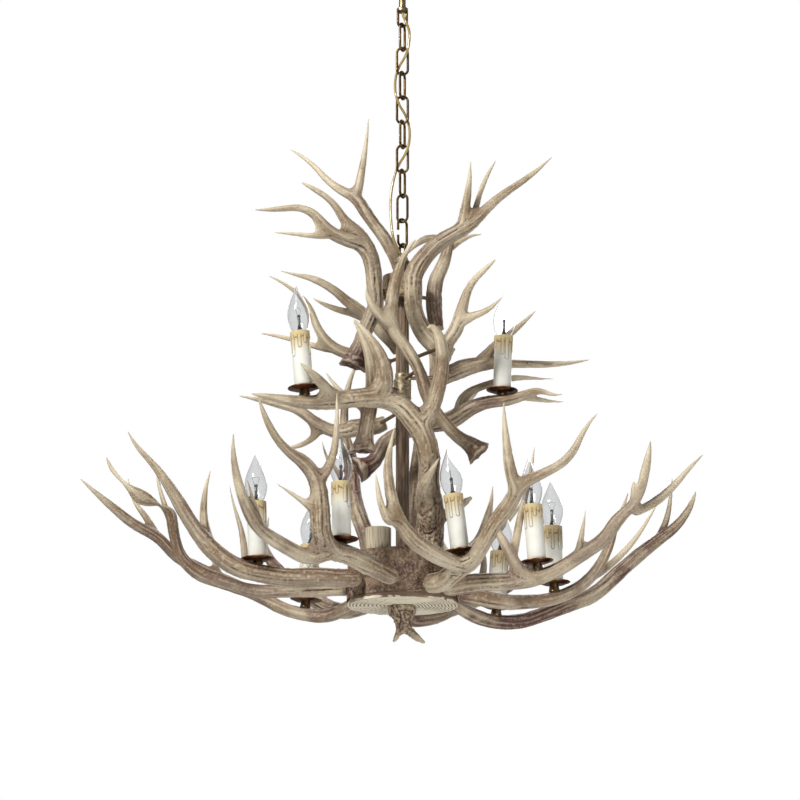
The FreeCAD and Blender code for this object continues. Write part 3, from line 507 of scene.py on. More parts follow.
# The slice of end grain below: growth rings that wander, and an uneven rim with a ragged pale lip.
def sawn_face(name, node, ring_step, sections):
    """A turned slice on a node's place: closely ringed faces for the growth rings to be raised on."""
    low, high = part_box(node)
    radius = (high.x - low.x) / 2
    middle = ((low.x + high.x) / 2, (low.y + high.y) / 2)
    bpy.ops.mesh.primitive_cylinder_add(vertices=sections, radius=radius, depth=high.z - low.z,
                                        location=(*middle, (low.z + high.z) / 2), end_fill_type="NGON")
    sawn = bpy.context.object
    sawn.name = name
    alone(sawn)
    bpy.ops.object.transform_apply()
    steps = int(radius / ring_step)
    bpy.ops.object.mode_set(mode="EDIT")
    bpy.ops.mesh.select_mode(type="FACE")
    for upper in (False, True):
        bpy.ops.mesh.select_all(action="DESELECT")
        bpy.ops.object.mode_set(mode="OBJECT")
        for face in sawn.data.polygons:
            face.select = face.normal.z > 0.9 if upper else face.normal.z < -0.9
        bpy.ops.object.mode_set(mode="EDIT")
        for _ in range(steps - 1):
            bpy.ops.mesh.inset(thickness=ring_step, use_even_offset=False)
    levels = (0.1, 0.2, 0.3, 0.36, 0.42, 0.48, 0.54, 0.6, 0.7, 0.85)
    cut_round(low.z + share * (high.z - low.z) for share in levels)
    bpy.ops.object.mode_set(mode="OBJECT")
    return sawn, Vector((*middle, 0)), radius


end_disc, _, disc_radius = sawn_face("stump_end_grain", "stump_end_disc", 0.0011, 260)
places, facing = points_of(end_disc)
off_centre = np.hypot(places[:, 0], places[:, 1])
heading = places * np.array([1, 1, 0]) / np.maximum(off_centre, 1e-6)[:, None]
wander = lumps(heading * 0.05, 0.016, 11) * 0.1
wander = wander + lumps(places * np.array([1, 1, 0]), 0.035, 12) * 0.0035 / disc_radius
rim = np.clip(off_centre / disc_radius, 0, 1) ** 3
places += heading * ((lumps(heading * 0.09, 0.01, 13) * 0.5 - 0.5) * 0.0028 * rim)[:, None]
ring_spacing = 0.0058
growth = off_centre * (1 + wander) / ring_spacing
rings_high = 0.5 + 0.5 * np.sin(2 * math.pi * growth)
under = facing[:, 2] < -0.5
places[under, 2] += 0.0011 * (1 - rings_high[under]) + 0.0003 * lumps(places[under], 0.004, 14)
# Above its ragged pale lip the rim carries the bark on, and is set in a little.
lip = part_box("stump_end_disc")[0].z + 0.0036 + 0.0012 * lumps(heading * 0.09, 0.006, 15)
above_lip = np.clip((places[:, 2] - lip) / 0.0008, 0, 1)
places -= heading * (above_lip * rim * 0.0005)[:, None]
set_points(end_disc, places)
keep_value(end_disc, "growth", rings_high)
keep_value(end_disc, "barked", above_lip * (off_centre > 0.9 * disc_radius))
bpy.ops.object.shade_smooth()
bpy.ops.object.shade_smooth_by_angle(angle=math.radians(50))


def end_grain(name, pale, dark, soot):
    """Sawn wood: pale rings between dark ones, soiled in patches, with bark where the piece keeps it."""
    material, tree, shader = finish_of(name, 0.66)
    place = position(tree)
    fine = cloud(tree, place, 900, 3)
    ringed = between(tree, value_of(tree, "growth"), 0.12, 0.62)
    wood = blended(tree, ringed, (*dark, 1), (*pale, 1))
    wood = laid_over(tree, wood, fine, (0.35, 0.75, 0.0, 0.15), pale)
    wood = laid_over(tree, wood, cloud(tree, place, 24), (0.48, 0.72, 0.0, 0.45), soot)
    wood = blended(tree, value_of(tree, "barked"), wood, (0.2, 0.135, 0.09, 1))
    tree.links.new(wood, shader.inputs["Base Color"])
    raised(tree, shader, fine, 0.0008)
    return material


cream, ring_brown, dust = (0.84, 0.78, 0.64), (0.19, 0.13, 0.075), (0.52, 0.42, 0.3)
end_disc.data.materials.append(end_grain("end_grain_cast", cream, ring_brown, dust))
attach(end_disc, "lamp")
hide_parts("stump_end_disc")

# The stub of timber: pale, with a fine upright grain down its sides and a slightly crowned top.
stub, stub_middle, stub_radius = sawn_face("timber_stub_cast", "timber_stub", 0.0016, 150)
stub_low, stub_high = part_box("timber_stub")
opened(stub)
rings = 26
cut_round(stub_low.z + (stub_high.z - stub_low.z) * k / rings for k in range(1, rings))
bpy.ops.object.mode_set(mode="OBJECT")
places, facing = points_of(stub)
from_middle = (places - np.array(stub_middle)) * np.array([1, 1, 0])
off_centre = np.hypot(from_middle[:, 0], from_middle[:, 1])
heading = from_middle / np.maximum(off_centre, 1e-6)[:, None]
grain = lumps(places * np.array([1, 1, 0.05]), 0.0014, 21)
places -= heading * ((0.5 - 0.5 * grain) * 0.001 * (off_centre / stub_radius) ** 4)[:, None]
upper = places[:, 2] > stub_high.z - 0.0002
places[upper, 2] -= 0.0035 * (off_centre[upper] / stub_radius) ** 2
set_points(stub, places)
rings_on_top = np.sin(2 * math.pi * off_centre / 0.0034)
keep_value(stub, "growth", 0.5 + 0.5 * np.where(facing[:, 2] > 0.5, rings_on_top, grain))
bpy.ops.object.shade_smooth()
bpy.ops.object.shade_smooth_by_angle(angle=math.radians(50))
pale_grey, line_brown, dust = (0.6, 0.53, 0.41), (0.13, 0.098, 0.062), (0.4, 0.33, 0.25)
stub.data.materials.append(end_grain("sawn_timber_cast", pale_grey, line_brown, dust))
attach(stub, "lamp")
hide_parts("timber_stub")

# The terminal block inside the stump, where the candles' wires meet the cable: moulded and plain.
white_moulding, tree, shader = finish_of("white_moulding", 0.45)
off_white = blended(tree, cloud(tree, position(tree), 300), (0.78, 0.77, 0.72, 1), (0.86, 0.85, 0.8, 1))
tree.links.new(off_white, shader.inputs["Base Color"])
dress("terminal_block", white_moulding)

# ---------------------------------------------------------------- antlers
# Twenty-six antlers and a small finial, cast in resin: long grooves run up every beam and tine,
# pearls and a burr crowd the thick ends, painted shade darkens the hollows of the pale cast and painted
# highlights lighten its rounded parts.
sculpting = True


def remeshed(piece, voxel):
    """The piece's mesh made anew in even small faces, everything that overlaps in it as one skin."""
    alone(piece)
    skin = piece.modifiers.new("skin", "REMESH")
    skin.mode = "VOXEL"
    skin.voxel_size = voxel
    bpy.ops.object.modifier_apply(modifier=skin.name)


def butt_of(node):
    """The sawn end of a CAD antler, its largest flat: its middle, the way it faces and its radius."""
    faces = frame["nodes"][node].data.polygons
    middles, ways, areas = listed(faces, "center", 3), listed(faces, "normal", 3), listed(faces, "area")
    heights = (middles * ways).sum(1)
    planes = np.round(np.column_stack([ways * 400, heights * 20000])).astype(int)
    _, group = np.unique(planes, axis=0, return_inverse=True)
    flat = group.ravel() == np.bincount(group.ravel(), areas).argmax()
    area = areas[flat].sum()
    middle = (middles[flat] * areas[flat][:, None]).sum(0) / area
    return middle, ways[flat][0], math.sqrt(area / math.pi)


def cast_skin(node, name, voxel, butt, rounded):
    """A closed, even skin over a CAD antler, with the crotches of its tines filled to broad webs."""
    piece = added(name, frame["nodes"][node].data.copy())
    piece.data.materials.clear()
    opened(piece)
    bpy.ops.mesh.remove_doubles(threshold=0.00002)
    bpy.ops.object.mode_set(mode="OBJECT")
    filled = added(name + "_webs", piece.data.copy())
    remeshed(filled, 2.4 * voxel)
    around = around_of(filled)
    places, facing = points_of(filled)
    set_points(filled, places - 0.0006 * facing)
    web(filled, around, 170, 0)
    bpy.ops.object.select_all(action="DESELECT")
    if rounded:
        middle, facing, radius = butt
        bpy.ops.mesh.primitive_uv_sphere_add(segments=32, ring_count=16, radius=0.99 * radius,
                                             location=middle)
        bpy.ops.object.transform_apply()
    filled.select_set(True)
    piece.select_set(True)
    bpy.context.view_layer.objects.active = piece
    bpy.ops.object.join()
    remeshed(piece, voxel)
    return piece


def around_of(piece):
    """For each point, the points of the faces round it, eight at most, and itself to fill the row."""
    count = len(piece.data.vertices)
    corners = listed(piece.data.loops, "vertex_index", kind=int)
    starts = listed(piece.data.polygons, "loop_start", kind=int)
    sizes = listed(piece.data.polygons, "loop_total", kind=int)
    quads = corners[starts[sizes == 4][:, None] + np.arange(4)]
    pairs = np.vstack([quads[:, [i, j]] for i in range(4) for j in range(4) if i != j])
    keys = np.unique(pairs[:, 0] * count + pairs[:, 1])
    first, second = keys // count, keys % count
    number = np.bincount(first, minlength=count)
    place_in_row = np.arange(len(first)) - (np.cumsum(number) - number)[first]
    around = np.repeat(np.arange(count)[:, None], 8, 1)
    fits = place_in_row < 8
    around[first[fits], place_in_row[fits]] = second[fits]
    return around


def settle(values, around, rounds):
    """Values evened out over the skin."""
    for _ in range(rounds):
        values = 0.3 * values + 0.7 * values[around].mean(1)
    return values


def web(piece, around, rounds, smooth):
    """Material laid into the hollows between tines, and the skin's steps smoothed away."""
    places, facing = points_of(piece)
    for k in range(rounds):
        pull = places[around].mean(1) - places
        lift = (pull * facing).sum(1)
        filled = facing * np.clip(lift, 0, None)[:, None]
        places = places + 0.9 * filled + (0.5 * (pull - facing * lift[:, None]) if k % 3 == 0 else 0)
        if k % 8 == 0 or k >= rounds - smooth:
            if k >= rounds - smooth:
                places = places + 0.5 * (places[around].mean(1) - places)
            set_points(piece, places)
            facing = points_of(piece)[1]
    set_points(piece, places)


def girth_of(piece, around):
    """Half the thickness of the limb at each point."""
    places, facing = points_of(piece)
    skin = BVHTree.FromObject(piece, bpy.context.evaluated_depsgraph_get())
    thickest = 0.036
    across = np.full(len(places), thickest)
    for k in range(len(places)):
        way = Vector(-facing[k])
        hit = skin.ray_cast(Vector(places[k]) + way * 0.0004, way, thickest)
        if hit[0] is not None:
            across[k] = hit[3]
    return settle(across / 2, around, 24)


def run_of(piece, around):
    """The direction in which the limb runs at each point."""
    facing = points_of(piece)[1]
    spread = settle(facing[:, :, None] * facing[:, None, :], around, 12)
    return np.linalg.eigh(spread)[1][:, :, 0]


def grooves_of(piece, around, run, seed):
    """Noise drawn out along the limbs: the long grooves of the cast."""
    places, facing = points_of(piece)
    count = len(places)
    rough = np.random.default_rng(seed).normal(size=count)
    rough = settle(rough, around, 1)
    rows = np.arange(count)
    steps, step = 24, 0.0015
    total = rough.copy()
    for sign in (1, -1):
        here, spot, way = rows.copy(), places.copy(), run * sign
        for _ in range(steps):
            spot = spot + way * step
            near = around[here]
            gaps = ((places[near] - spot[:, None]) ** 2).sum(2)
            best = gaps.argmin(1)
            stays = ((places[here] - spot) ** 2).sum(1) < gaps[rows, best]
            here = np.where(stays, here, near[rows, best])
            spot = spot - facing[here] * ((spot - places[here]) * facing[here]).sum(1)[:, None]
            turn = np.sign((run[here] * way).sum(1))
            way = run[here] * np.where(turn == 0, 1, turn)[:, None]
            total += rough[here]
    return total / total.std()


def cast_antler(node, stain, seed, end="plain", voxel=0.0017):
    """One finished antler: stain is how dark its wash is, end how its sawn end looks."""
    butt = butt_of(node)
    piece = cast_skin(node, node + "_cast", voxel, butt, end == "rounded")
    around = around_of(piece)
    web(piece, around, 14, 6)
    girth = girth_of(piece, around)
    places, facing = points_of(piece)
    thick = np.clip((girth - 0.004) / 0.008, 0, 1)
    places = places + facing * (lumps(places, 0.034, seed) * 0.0011 * thick)[:, None]
    set_points(piece, places)
    if sculpting:
        grooves = grooves_of(piece, around, run_of(piece, around), seed)
    else:
        grooves = lumps(places, 0.005, seed)
    places, facing = points_of(piece)
    pearls = np.clip(lumps(places, 0.0052, seed + 50) - 0.25, 0, 1) * np.clip((girth - 0.0095) / 0.005, 0, 1)
    rise = np.clip(grooves, -2.4, 1.4) * (0.0001 + 0.00038 * thick) + pearls * 0.0016
    root = np.zeros(len(places))
    knotty = np.zeros(len(places))
    if end == "rooted":
        # It stands on the stump like a trunk, swollen and cracked at its foot.
        from_foot = (butt[0] - places) @ butt[1] + 0.3 * butt[2] * lumps(places, 0.03, seed + 60)
        knotty = np.clip(1.3 - from_foot / (4.6 * butt[2]), 0, 1)
        knots = np.clip(lumps(places * np.array([1, 1, 0.45]), 0.0085, seed + 61), -0.6, 1)
        clefts = np.clip(0.2 - np.abs(lumps(places * np.array([1, 1, 0.3]), 0.01, seed + 62)), 0, 1) / 0.2
        grit = lumps(places, 0.003, seed + 63)
        bold = min(butt[2] / 0.019, 1)
        rise = rise + knotty * bold * (0.0028 + 0.0024 * knots + 0.0008 * grit - 0.0022 * clefts)
    if end == "burr":
        middle, way, radius = butt
        inward = (middle - places) @ way
        off_axis = places - middle + inward[:, None] * way
        off = np.sqrt((off_axis ** 2).sum(1))
        near = (off < 2.2 * radius) & (inward > -0.006)
        ring = near * np.clip(1.25 - inward / 0.013, 0, 1)
        face = near * np.clip((0.0022 - inward) / 0.0015, 0, 1)
        face = face * np.clip((1.02 * radius - off) / 0.003, 0, 1)
        spikes = np.clip(1.3 * lumps(places, 0.0085, seed + 70) + 0.3, 0, 1.5) ** 1.5
        flare = off_axis / np.maximum(off, 1e-5)[:, None]
        grit = lumps(places, 0.003, seed + 71)
        hollowed = -0.0026 * face * (1 - (off / radius) ** 2) + 0.0012 * face * grit
        places = places + flare * (ring * (1 - face) * (0.0012 + 0.006 * spikes))[:, None]
        places = places + way * (hollowed + 0.003 * spikes * ring * (1 - face) * (inward < 0.005))[:, None]
        root = np.clip(3.2 * face + 1.5 * near * np.clip(1.3 - inward / 0.03, 0, 1), 0, 3)
    places = places + facing * rise[:, None]
    places[:, 2] = np.maximum(places[:, 2], cad_box[0][2])
    set_points(piece, places)
    keep_value(piece, "groove", grooves)
    keep_value(piece, "girth", girth * 1000)
    places, facing = points_of(piece)
    # How hollow the skin is, kept for the painted shade in hollows and the painted highlight on rounded
    # parts.
    hollow = ((settle(places, around, 6) - places) * facing).sum(1)
    keep_value(piece, "hollow", np.clip(hollow / 0.0006, -1, 1))
    keep_value(piece, "stain", np.full(len(places), stain) + 0.5 * root + 0.25 * knotty)
    keep_value(piece, "knotty", knotty)
    # Which way the skin faces, kept for the painted shade on upper sides and the painted highlight beneath.
    keep_value(piece, "turned_up", settle(facing[:, 2], around, 10))
    alone(piece)
    bpy.ops.object.shade_smooth()
    piece.data.materials.append(antler_cast)
    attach(piece, "lamp")
    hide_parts(node)
    return piece


antler_cast, tree, shader = finish_of("antler_cast", 0.46)
place = position(tree)
groove, girth = value_of(tree, "groove"), value_of(tree, "girth")
hollow, stain = value_of(tree, "hollow"), value_of(tree, "stain")
# Fine streaks run with the grooves: noise over the groove's own value and a slow place.
streak_place = tree.nodes.new("ShaderNodeCombineXYZ")
tree.links.new(multiplied(tree, groove, 2.6), streak_place.inputs["X"])
tree.links.new(cloud(tree, place, 9, 1), streak_place.inputs["Y"])
streaks = cloud(tree, streak_place.outputs[0], 1.6, 5, 0.65)
broad = between(tree, cloud(tree, place, 13, 4), 0.38, 0.62)
pale = blended(tree, broad, (0.29, 0.203, 0.11, 1), (0.77, 0.67, 0.49, 1))
tone = laid_over(tree, pale, streaks, (0.34, 0.6, 0.7, 0.0), (0.205, 0.14, 0.078))
tone = laid_over(tree, tone, groove, (-2.6, -1.1, 0.8, 0.0), (0.085, 0.048, 0.026))
tone = laid_over(tree, tone, groove, (0.4, 1.8, 0.0, 0.35), (0.8, 0.72, 0.57))
# Painted shade darkens the upper sides of thick limbs, and a painted highlight makes their undersides pale.
turned_up = value_of(tree, "turned_up")
painted_shade_on_tops = multiplied(tree, between(tree, turned_up, -0.25, 0.75, 0.0, 0.62), between(tree, girth, 4.0, 10.0))
tone = blended(tree, painted_shade_on_tops, tone, (0.16, 0.1, 0.06, 1))
tone = laid_over(tree, tone, turned_up, (-0.85, -0.15, 0.36, 0.0), (0.82, 0.75, 0.61))
patches = between(tree, cloud(tree, place, 12, 5), 0.44, 0.58)
darkness = multiplied(tree, stain, between(tree, girth, 3.0, 12.0, 0.06, 1.0))
uneven = blended(tree, patches, (0.4, 0.4, 0.4, 1), (1.15, 1.15, 1.15, 1))
tone = blended(tree, multiplied(tree, darkness, uneven, True), tone, (0.112, 0.045, 0.036, 1))
mossy = between(tree, cloud(tree, place, 230, 6, 0.7), 0.44, 0.56)
barky = blended(tree, mossy, (0.085, 0.046, 0.028, 1), (0.38, 0.275, 0.175, 1))
tone = blended(tree, value_of(tree, "knotty"), tone, barky)
# Painted shade in the hollows, and a painted highlight on the rounded parts.
tone = laid_over(tree, tone, hollow, (0.1, 0.7, 0.0, 0.88), (0.042, 0.02, 0.013))
tone = laid_over(tree, tone, hollow, (-1.0, -0.3, 0.34, 0.0), (0.82, 0.73, 0.57))
tone = laid_over(tree, tone, girth, (2.2, 5.5, 0.6, 0.0), (0.7, 0.61, 0.46))
tone = laid_over(tree, tone, cloud(tree, place, 620, 3), (0.62, 0.72, 0.0, 0.5), (0.08, 0.045, 0.025))
tree.links.new(tone, shader.inputs["Base Color"])
tree.links.new(between(tree, streaks, 0.3, 0.7, 0.46, 0.3), shader.inputs["Roughness"])
relief = tree.nodes.new("ShaderNodeMath")
relief.operation = "MULTIPLY_ADD"
relief.inputs[1].default_value = 1.4
tree.links.new(streaks, relief.inputs[0])
tree.links.new(cloud(tree, place, 900, 4), relief.inputs[2])
raised(tree, shader, relief.outputs[0], 0.00045)

# How dark each antler's wash is; those at the back and round the column are the darkest.
washes = {
    "front_left_antler": 0.45, "front_right_antler": 0.36, "left_antler": 0.48, "left_middle_antler": 0.62,
    "left_rear_antler": 0.7, "right_antler": 0.55, "right_middle_antler": 0.85, "right_rear_antler": 0.85,
    "back_left_antler": 0.7, "back_right_antler": 0.7, "back_crossing_antler": 0.75, "trunk_antler": 0.3,
    "upper_back_antler": 0.7, "standing_rear_antler": 0.85, "standing_front_antler": 0.45,
    "upper_right_antler": 0.55, "crown_front_antler": 0.4, "upper_left_rear_antler": 0.6,
    "upper_cross_antler": 0.6, "crown_fork_antler": 0.4, "upper_left_antler": 0.45,
    "upper_left_back_antler": 0.6, "crown_left_antler": 0.45, "crown_right_antler": 0.4,
    "crown_rear_antler": 0.55, "crown_top_antler": 0.5,
}
# How the sawn ends look: those before the stump are rounded off, and five upper ones keep their burr.
ends = dict.fromkeys(("front_left_antler", "front_right_antler", "left_antler", "right_antler"), "rounded")
ends.update(dict.fromkeys(("crown_front_antler", "crown_left_antler", "crown_right_antler",
                           "standing_front_antler", "upper_cross_antler"), "burr"))
ends["trunk_antler"] = "rooted"
for seed, (node, wash) in enumerate(washes.items()):
    cast_antler(node, wash, 100 + seed, ends.get(node, "plain"))
cast_antler("finial_antler", 0.55, 200, "rooted", 0.0012)

# ---------------------------------------------------------------- candles
# Nine candle lights.  A threaded brass post with a boss stands on the antler and carries a spun
# drip dish, a moulded sleeve with wax runs, the lampholder inside it and a clear candle bulb.
sleeve_parts = added("sleeve_parts", frame["nodes"]["candle_sleeves"].data.copy())
opened(sleeve_parts)
bpy.ops.mesh.remove_doubles(threshold=0.00002)
bpy.ops.mesh.separate(type="LOOSE")
bpy.ops.object.mode_set(mode="OBJECT")
candle_places = []
for part in list(bpy.context.selected_objects):
    spots, _ = points_of(part)
    middle = spots.mean(0)
    upward = np.linalg.eigh(np.cov((spots - middle).T))[1][:, -1]
    upward = upward * np.sign(upward[2])
    reach = (spots - middle) @ upward
    foot_ring = spots[reach < reach.min() + 0.0005].mean(0)
    candle_places.append((Vector(foot_ring), Vector(upward), reach.max() - reach.min()))
    bpy.data.objects.remove(part)
candle_places.sort(key=lambda one: (round(one[0].x, 3), one[0].y))
sleeve_length = candle_places[0][2]


def turned_piece(name, outline, sections=64):
    """An outline of (radius, height) points in metres, spun round the upright axis."""
    mesh = bpy.data.meshes.new(name)
    piece = added(name, mesh)
    mesh.from_pydata([(radius, 0, height) for radius, height in outline],
                     [(k, k + 1) for k in range(len(outline) - 1)], [])
    opened(piece)
    bpy.ops.mesh.spin(steps=sections, angle=2 * math.pi, center=(0, 0, 0), axis=(0, 0, 1))
    bpy.ops.mesh.select_all(action="SELECT")
    bpy.ops.mesh.remove_doubles(threshold=0.000005)
    bpy.ops.mesh.normals_make_consistent(inside=False)
    bpy.ops.object.mode_set(mode="OBJECT")
    bpy.ops.object.shade_smooth()
    bpy.ops.object.shade_smooth_by_angle(angle=math.radians(40))
    return piece


def arc(middle, radius, first, last, steps):
    """Points (radius, height) on an arc, from one angle to another in degrees."""
    angles = [math.radians(first + (last - first) * k / steps) for k in range(steps + 1)]
    return [(middle[0] + radius * math.cos(a), middle[1] + radius * math.sin(a)) for a in angles]


def at_candles(pattern, name, material, node, turns):
    """The piece once for each candle, on its place and turned round by its own amount."""
    for k, (foot, upward, _) in enumerate(candle_places):
        copy = added("%s_%d" % (name, k + 1), pattern.data.copy())
        tilt = Vector((0, 0, 1)).rotation_difference(upward).to_matrix().to_4x4()
        copy.data.transform(Matrix.Translation(foot) @ tilt @ Matrix.Rotation(turns * k, 4, "Z"))
        copy.data.materials.append(material)
        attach(copy, "lamp")
        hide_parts(node)
    bpy.data.objects.remove(pattern)


# The drip dish: spun brass, with a rolled shining rim and a dark reddish underside, its darkness painted
# shade.
dish_top, dish_radius, dish_wall, dish_depth = -0.0003, 0.0256, 0.0012, 0.005
dish_foot = dish_top - dish_wall
dish = turned_piece("dish", [
    (0.0052, dish_foot), (0.014, dish_foot), (0.017, dish_foot + 0.0004),
    (0.0205, dish_foot + 0.0019), (0.0234, dish_foot + 0.004)]
    + arc((dish_radius - 0.0011, dish_foot + dish_depth - 0.0006), 0.0011, -60, 150, 8)
    + [(0.0225, dish_top + 0.003), (0.02, dish_top + 0.0018), (0.0168, dish_top + 0.0003),
       (0.014, dish_top), (0.0052, dish_top), (0.0052, dish_foot)], 72)
dish_brass, tree, shader = finish_of("dish_brass", 0.3, 1.0)
place = position(tree)
way_up = tree.nodes.new("ShaderNodeSeparateXYZ")
surface = tree.nodes.new("ShaderNodeNewGeometry")
tree.links.new(surface.outputs["Normal"], way_up.inputs[0])
mottle_and_underside_shade = blended(tree, between(tree, cloud(tree, place, 130), 0.38, 0.64),
                 (0.15, 0.062, 0.03, 1), (0.4, 0.25, 0.11, 1))
# Painted shade: the faces turned downwards are darkened.
mottle_and_underside_shade = laid_over(tree, mottle_and_underside_shade, way_up.outputs["Z"], (-0.75, -0.2, 0.8, 0.0), (0.09, 0.03, 0.018))
tree.links.new(mottle_and_underside_shade, shader.inputs["Base Color"])
raised(tree, shader, cloud(tree, place, 600), 0.0003)
at_candles(dish, "drip_dish", dish_brass, "drip_dishes", 0.6)

# The post and its boss under the dish.
dress("candle_posts", antique_brass)

# The sleeve: ivory, glossy, with a swollen collar at its rim whose lower edge hangs in lobes, and
# wax runs of uneven length below it, rubbed with a golden-brown stain.
sleeve_radius, sleeve_wall, collar_radius, collar_height = 0.0145, 0.0016, 0.0156, 0.011
sections, levels = 144, 96
inner_radius = sleeve_radius - sleeve_wall
tube = turned_piece("sleeve", [(inner_radius, 0), (sleeve_radius, 0)]
                    + [(sleeve_radius, sleeve_length * k / levels) for k in range(1, levels)]
                    + arc((sleeve_radius - 0.0008, sleeve_length - 0.0008), 0.0008, 0, 90, 3)
                    + [(inner_radius, sleeve_length - 0.0002), (inner_radius, 0)], sections)
places, _ = points_of(tube)
azimuth = np.arctan2(places[:, 1], places[:, 0])
from_rim = sleeve_length - places[:, 2]
outer = np.hypot(places[:, 0], places[:, 1]) > sleeve_radius - 0.001
lobe_edge = collar_height - 0.0012 + 0.0026 * np.abs(np.cos(azimuth * 4)) + 0.0006 * np.sin(azimuth * 3 + 1)
swell = (collar_radius - sleeve_radius) * np.clip((lobe_edge - from_rim) / 0.0016, 0, 1)
run_height, stained = np.zeros(len(places)), np.zeros(len(places))
rng = np.random.default_rng(5)
wax_runs = 9
for k in range(wax_runs):
    heading = -math.pi + 2 * math.pi * (k + 0.5 + 0.25 * rng.uniform(-1, 1)) / wax_runs
    length = collar_height + rng.uniform(0.008, 0.03)
    width = rng.uniform(0.0019, 0.0027)
    off = np.abs((azimuth - heading + math.pi) % (2 * math.pi) - math.pi) * sleeve_radius
    beyond = np.clip(from_rim - (length - width), 0, None)
    away = np.hypot(off, beyond)
    below_collar = from_rim > collar_height * 0.6
    run_height = np.maximum(run_height, np.sqrt(np.clip(1 - (away / width) ** 2, 0, 1)) * below_collar)
    stained = np.maximum(stained, np.exp(-((away - 1.05 * width) / 0.00075) ** 2) * below_collar)
stained = stained * np.clip(1 - 1.6 * run_height, 0, 1)
grow = np.where(outer, np.maximum(swell, 0.0011 * run_height), 0)
radial = np.stack([np.cos(azimuth), np.sin(azimuth), np.zeros(len(places))], 1)
set_points(tube, places + radial * grow[:, None])
edge_line = np.exp(-((from_rim - lobe_edge - 0.0006) / 0.001) ** 2)
edge_line = edge_line * np.clip(1 - 1.6 * run_height, 0, 1)
keep_value(tube, "wash", np.clip(np.maximum(stained, edge_line) * outer, 0, 1))
keep_value(tube, "from_rim", from_rim * 1000)
ivory_candle, tree, shader = finish_of("ivory_candle", 0.3)
place = position(tree)
ivory = blended(tree, between(tree, cloud(tree, place, 45), 0.35, 0.65),
                (0.88, 0.86, 0.79, 1), (0.93, 0.915, 0.86, 1))
wash = multiplied(tree, value_of(tree, "wash"), between(tree, cloud(tree, place, 260), 0.3, 0.58, 0.6, 1.0))
ivory = blended(tree, wash, ivory, (0.2, 0.098, 0.024, 1))
top_glow = between(tree, value_of(tree, "from_rim"), 8.0, 42.0, 0.8, 0.0)
ivory = blended(tree, top_glow, ivory, (0.66, 0.47, 0.18, 1), "MULTIPLY")
tree.links.new(ivory, shader.inputs["Base Color"])
shader.inputs["Subsurface Weight"].default_value = 0.08
shader.inputs["Coat Weight"].default_value = 0.35
shader.inputs["Coat Roughness"].default_value = 0.12
raised(tree, shader, cloud(tree, place, 320, 2), 0.00025)
at_candles(tube, "candle_sleeve", ivory_candle, "candle_sleeves", 1.9)

# The lampholder is moulded in dark resin and shows as a ring inside the rim.
dark_moulding, tree, shader = finish_of("dark_moulding", 0.5)
dark = blended(tree, cloud(tree, position(tree), 400), (0.02, 0.018, 0.016, 1), (0.055, 0.05, 0.045, 1))
tree.links.new(dark, shader.inputs["Base Color"])
dress("lampholders", dark_moulding)

# The bulb: thin clear glass drawn out to a point, a nickel screw cap, and inside it a glass stem
# that carries the filament on its wires.
bulb_length, bulb_radius, neck_radius = 0.074, 0.0175, 0.011
holder_rim = sleeve_length - 0.004
base = holder_rim + 0.0003
crown = sleeve_length + bulb_length
profile = [(0.0092, base), (neck_radius, base + 0.0015), (neck_radius + 0.0002, base + 0.005)]
shape = [(0.1, 0.8), (0.16, 0.88), (0.22, 0.945), (0.28, 0.985), (0.34, 1.0), (0.4, 0.99),
         (0.46, 0.955), (0.52, 0.895), (0.58, 0.815), (0.64, 0.72), (0.7, 0.615), (0.76, 0.505),
         (0.82, 0.39), (0.87, 0.3), (0.91, 0.225), (0.945, 0.16), (0.975, 0.105), (0.992, 0.055)]
profile += [(bulb_radius * share, sleeve_length + bulb_length * up) for up, share in shape]
glass = turned_piece("bulb_glass_shape", profile + [(0, crown)], 56)
wall = glass.modifiers.new("wall", "SOLIDIFY")
wall.thickness = 0.00035
wall.offset = -1
alone(glass)
bpy.ops.object.modifier_apply(modifier=wall.name)
clear_glass, tree, shader = finish_of("clear_glass", 0.01)
clear = blended(tree, cloud(tree, position(tree), 30), (0.975, 0.98, 0.98, 1), (1, 1, 1, 1))
tree.links.new(clear, shader.inputs["Base Color"])
shader.inputs["Transmission Weight"].default_value = 1.0
shader.inputs["IOR"].default_value = 1.45
# Painted shade: a grey absorption darkens the glass, most at its edges, standing in for reflections of
# darker surroundings.
absorbed = tree.nodes.new("ShaderNodeVolumeAbsorption")
absorbed.inputs["Density"].default_value = 560
absorbed.inputs["Color"].default_value = (0.22, 0.24, 0.26, 1)
tree.links.new(absorbed.outputs[0], tree.nodes["Material Output"].inputs["Volume"])
at_candles(glass, "bulb_glass", clear_glass, "candle_bulbs", 0.4)

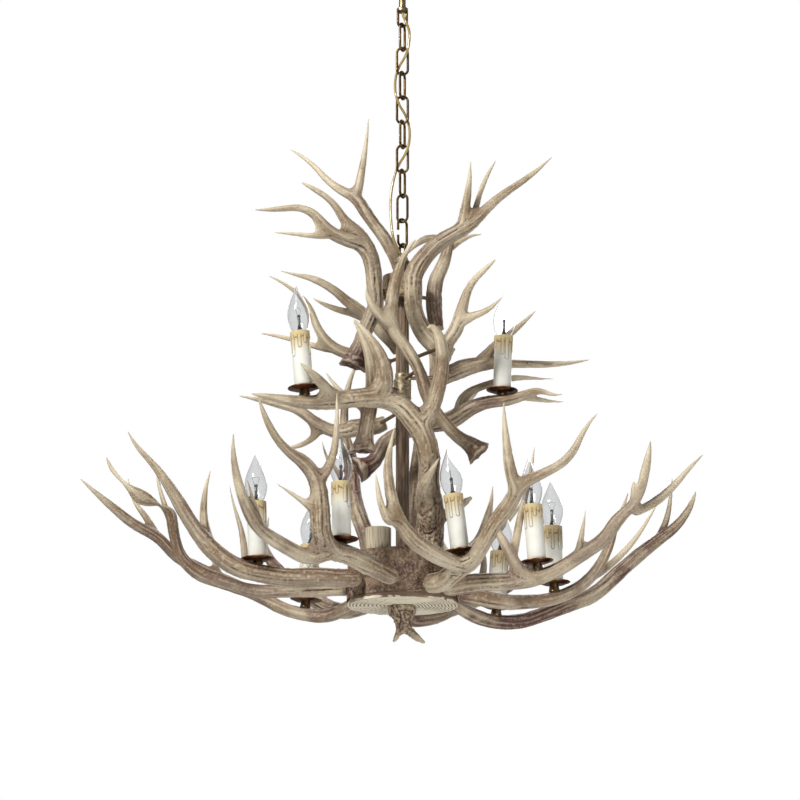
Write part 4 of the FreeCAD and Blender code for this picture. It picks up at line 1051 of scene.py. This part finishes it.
stem_shape = [(0, 0.0005), (0.008, 0.0005), (0.0062, 0.004), (0.0034, 0.009), (0.0023, 0.016),
              (0.0021, 0.026), (0.003, 0.029), (0.0018, 0.031), (0, 0.0315)]
stem = turned_piece("bulb_stem", [(radius, base + up) for radius, up in stem_shape], 28)
at_candles(stem, "bulb_stem", clear_glass, "candle_bulbs", 0.4)

cap_shape = [(0, -0.0215), (0.003, -0.0215), (0.0052, -0.0195), (0.007, -0.018)]
turns, pitch = 6, 0.0026
for k in range(turns):
    cap_shape += [(0.007, -0.0165 + pitch * k), (0.0064, -0.0152 + pitch * k)]
cap_shape += [(0.007, -0.0012), (0.0073, 0), (0.0095, 0.0006), (0.0088, 0.0012), (0, 0.0012)]
cap = turned_piece("bulb_cap", [(radius, base + up) for radius, up in cap_shape], 40)
nickel = metal("nickel_cap", (0.5, 0.47, 0.4), (0.72, 0.69, 0.62), 0.22, 200)
at_candles(cap, "bulb_cap", nickel, "candle_bulbs", 0.4)

# The filament is a fine coil, hung in a shallow arch between the ends of two wires.
stem_top = base + 0.029
coil_height, half_coil, coil_radius, coil_steps = stem_top + 0.0125, 0.006, 0.00035, 96
legs = []
for way in (-1, 1):
    leg = [(0.0012 * way, 0, stem_top - 0.004), (0.0022 * way, 0, stem_top + 0.002),
           (0.0052 * way, 0.0006, stem_top + 0.01), (half_coil * way, 0.0004, coil_height)]
    legs.append(wire("leg", leg, 0.00028, 2, 1))
coil = []
for k in range(coil_steps + 1):
    share, turn = k / coil_steps, k * math.pi / 2
    coil.append((half_coil * (2 * share - 1), 0.0004 + coil_radius * math.cos(turn),
                 coil_height + 0.0012 * math.sin(math.pi * share) + coil_radius * math.sin(turn)))
legs.append(wire("filament", coil, 0.0001, 2, 1))
bpy.ops.object.select_all(action="DESELECT")
for piece in legs:
    piece.select_set(True)
bpy.context.view_layer.objects.active = legs[0]
bpy.ops.object.join()
tungsten = metal("filament_wire", (0.2, 0.19, 0.18), (0.38, 0.37, 0.35), 0.35, 400)
at_candles(legs[0], "filament", tungsten, "candle_bulbs", 0.4)
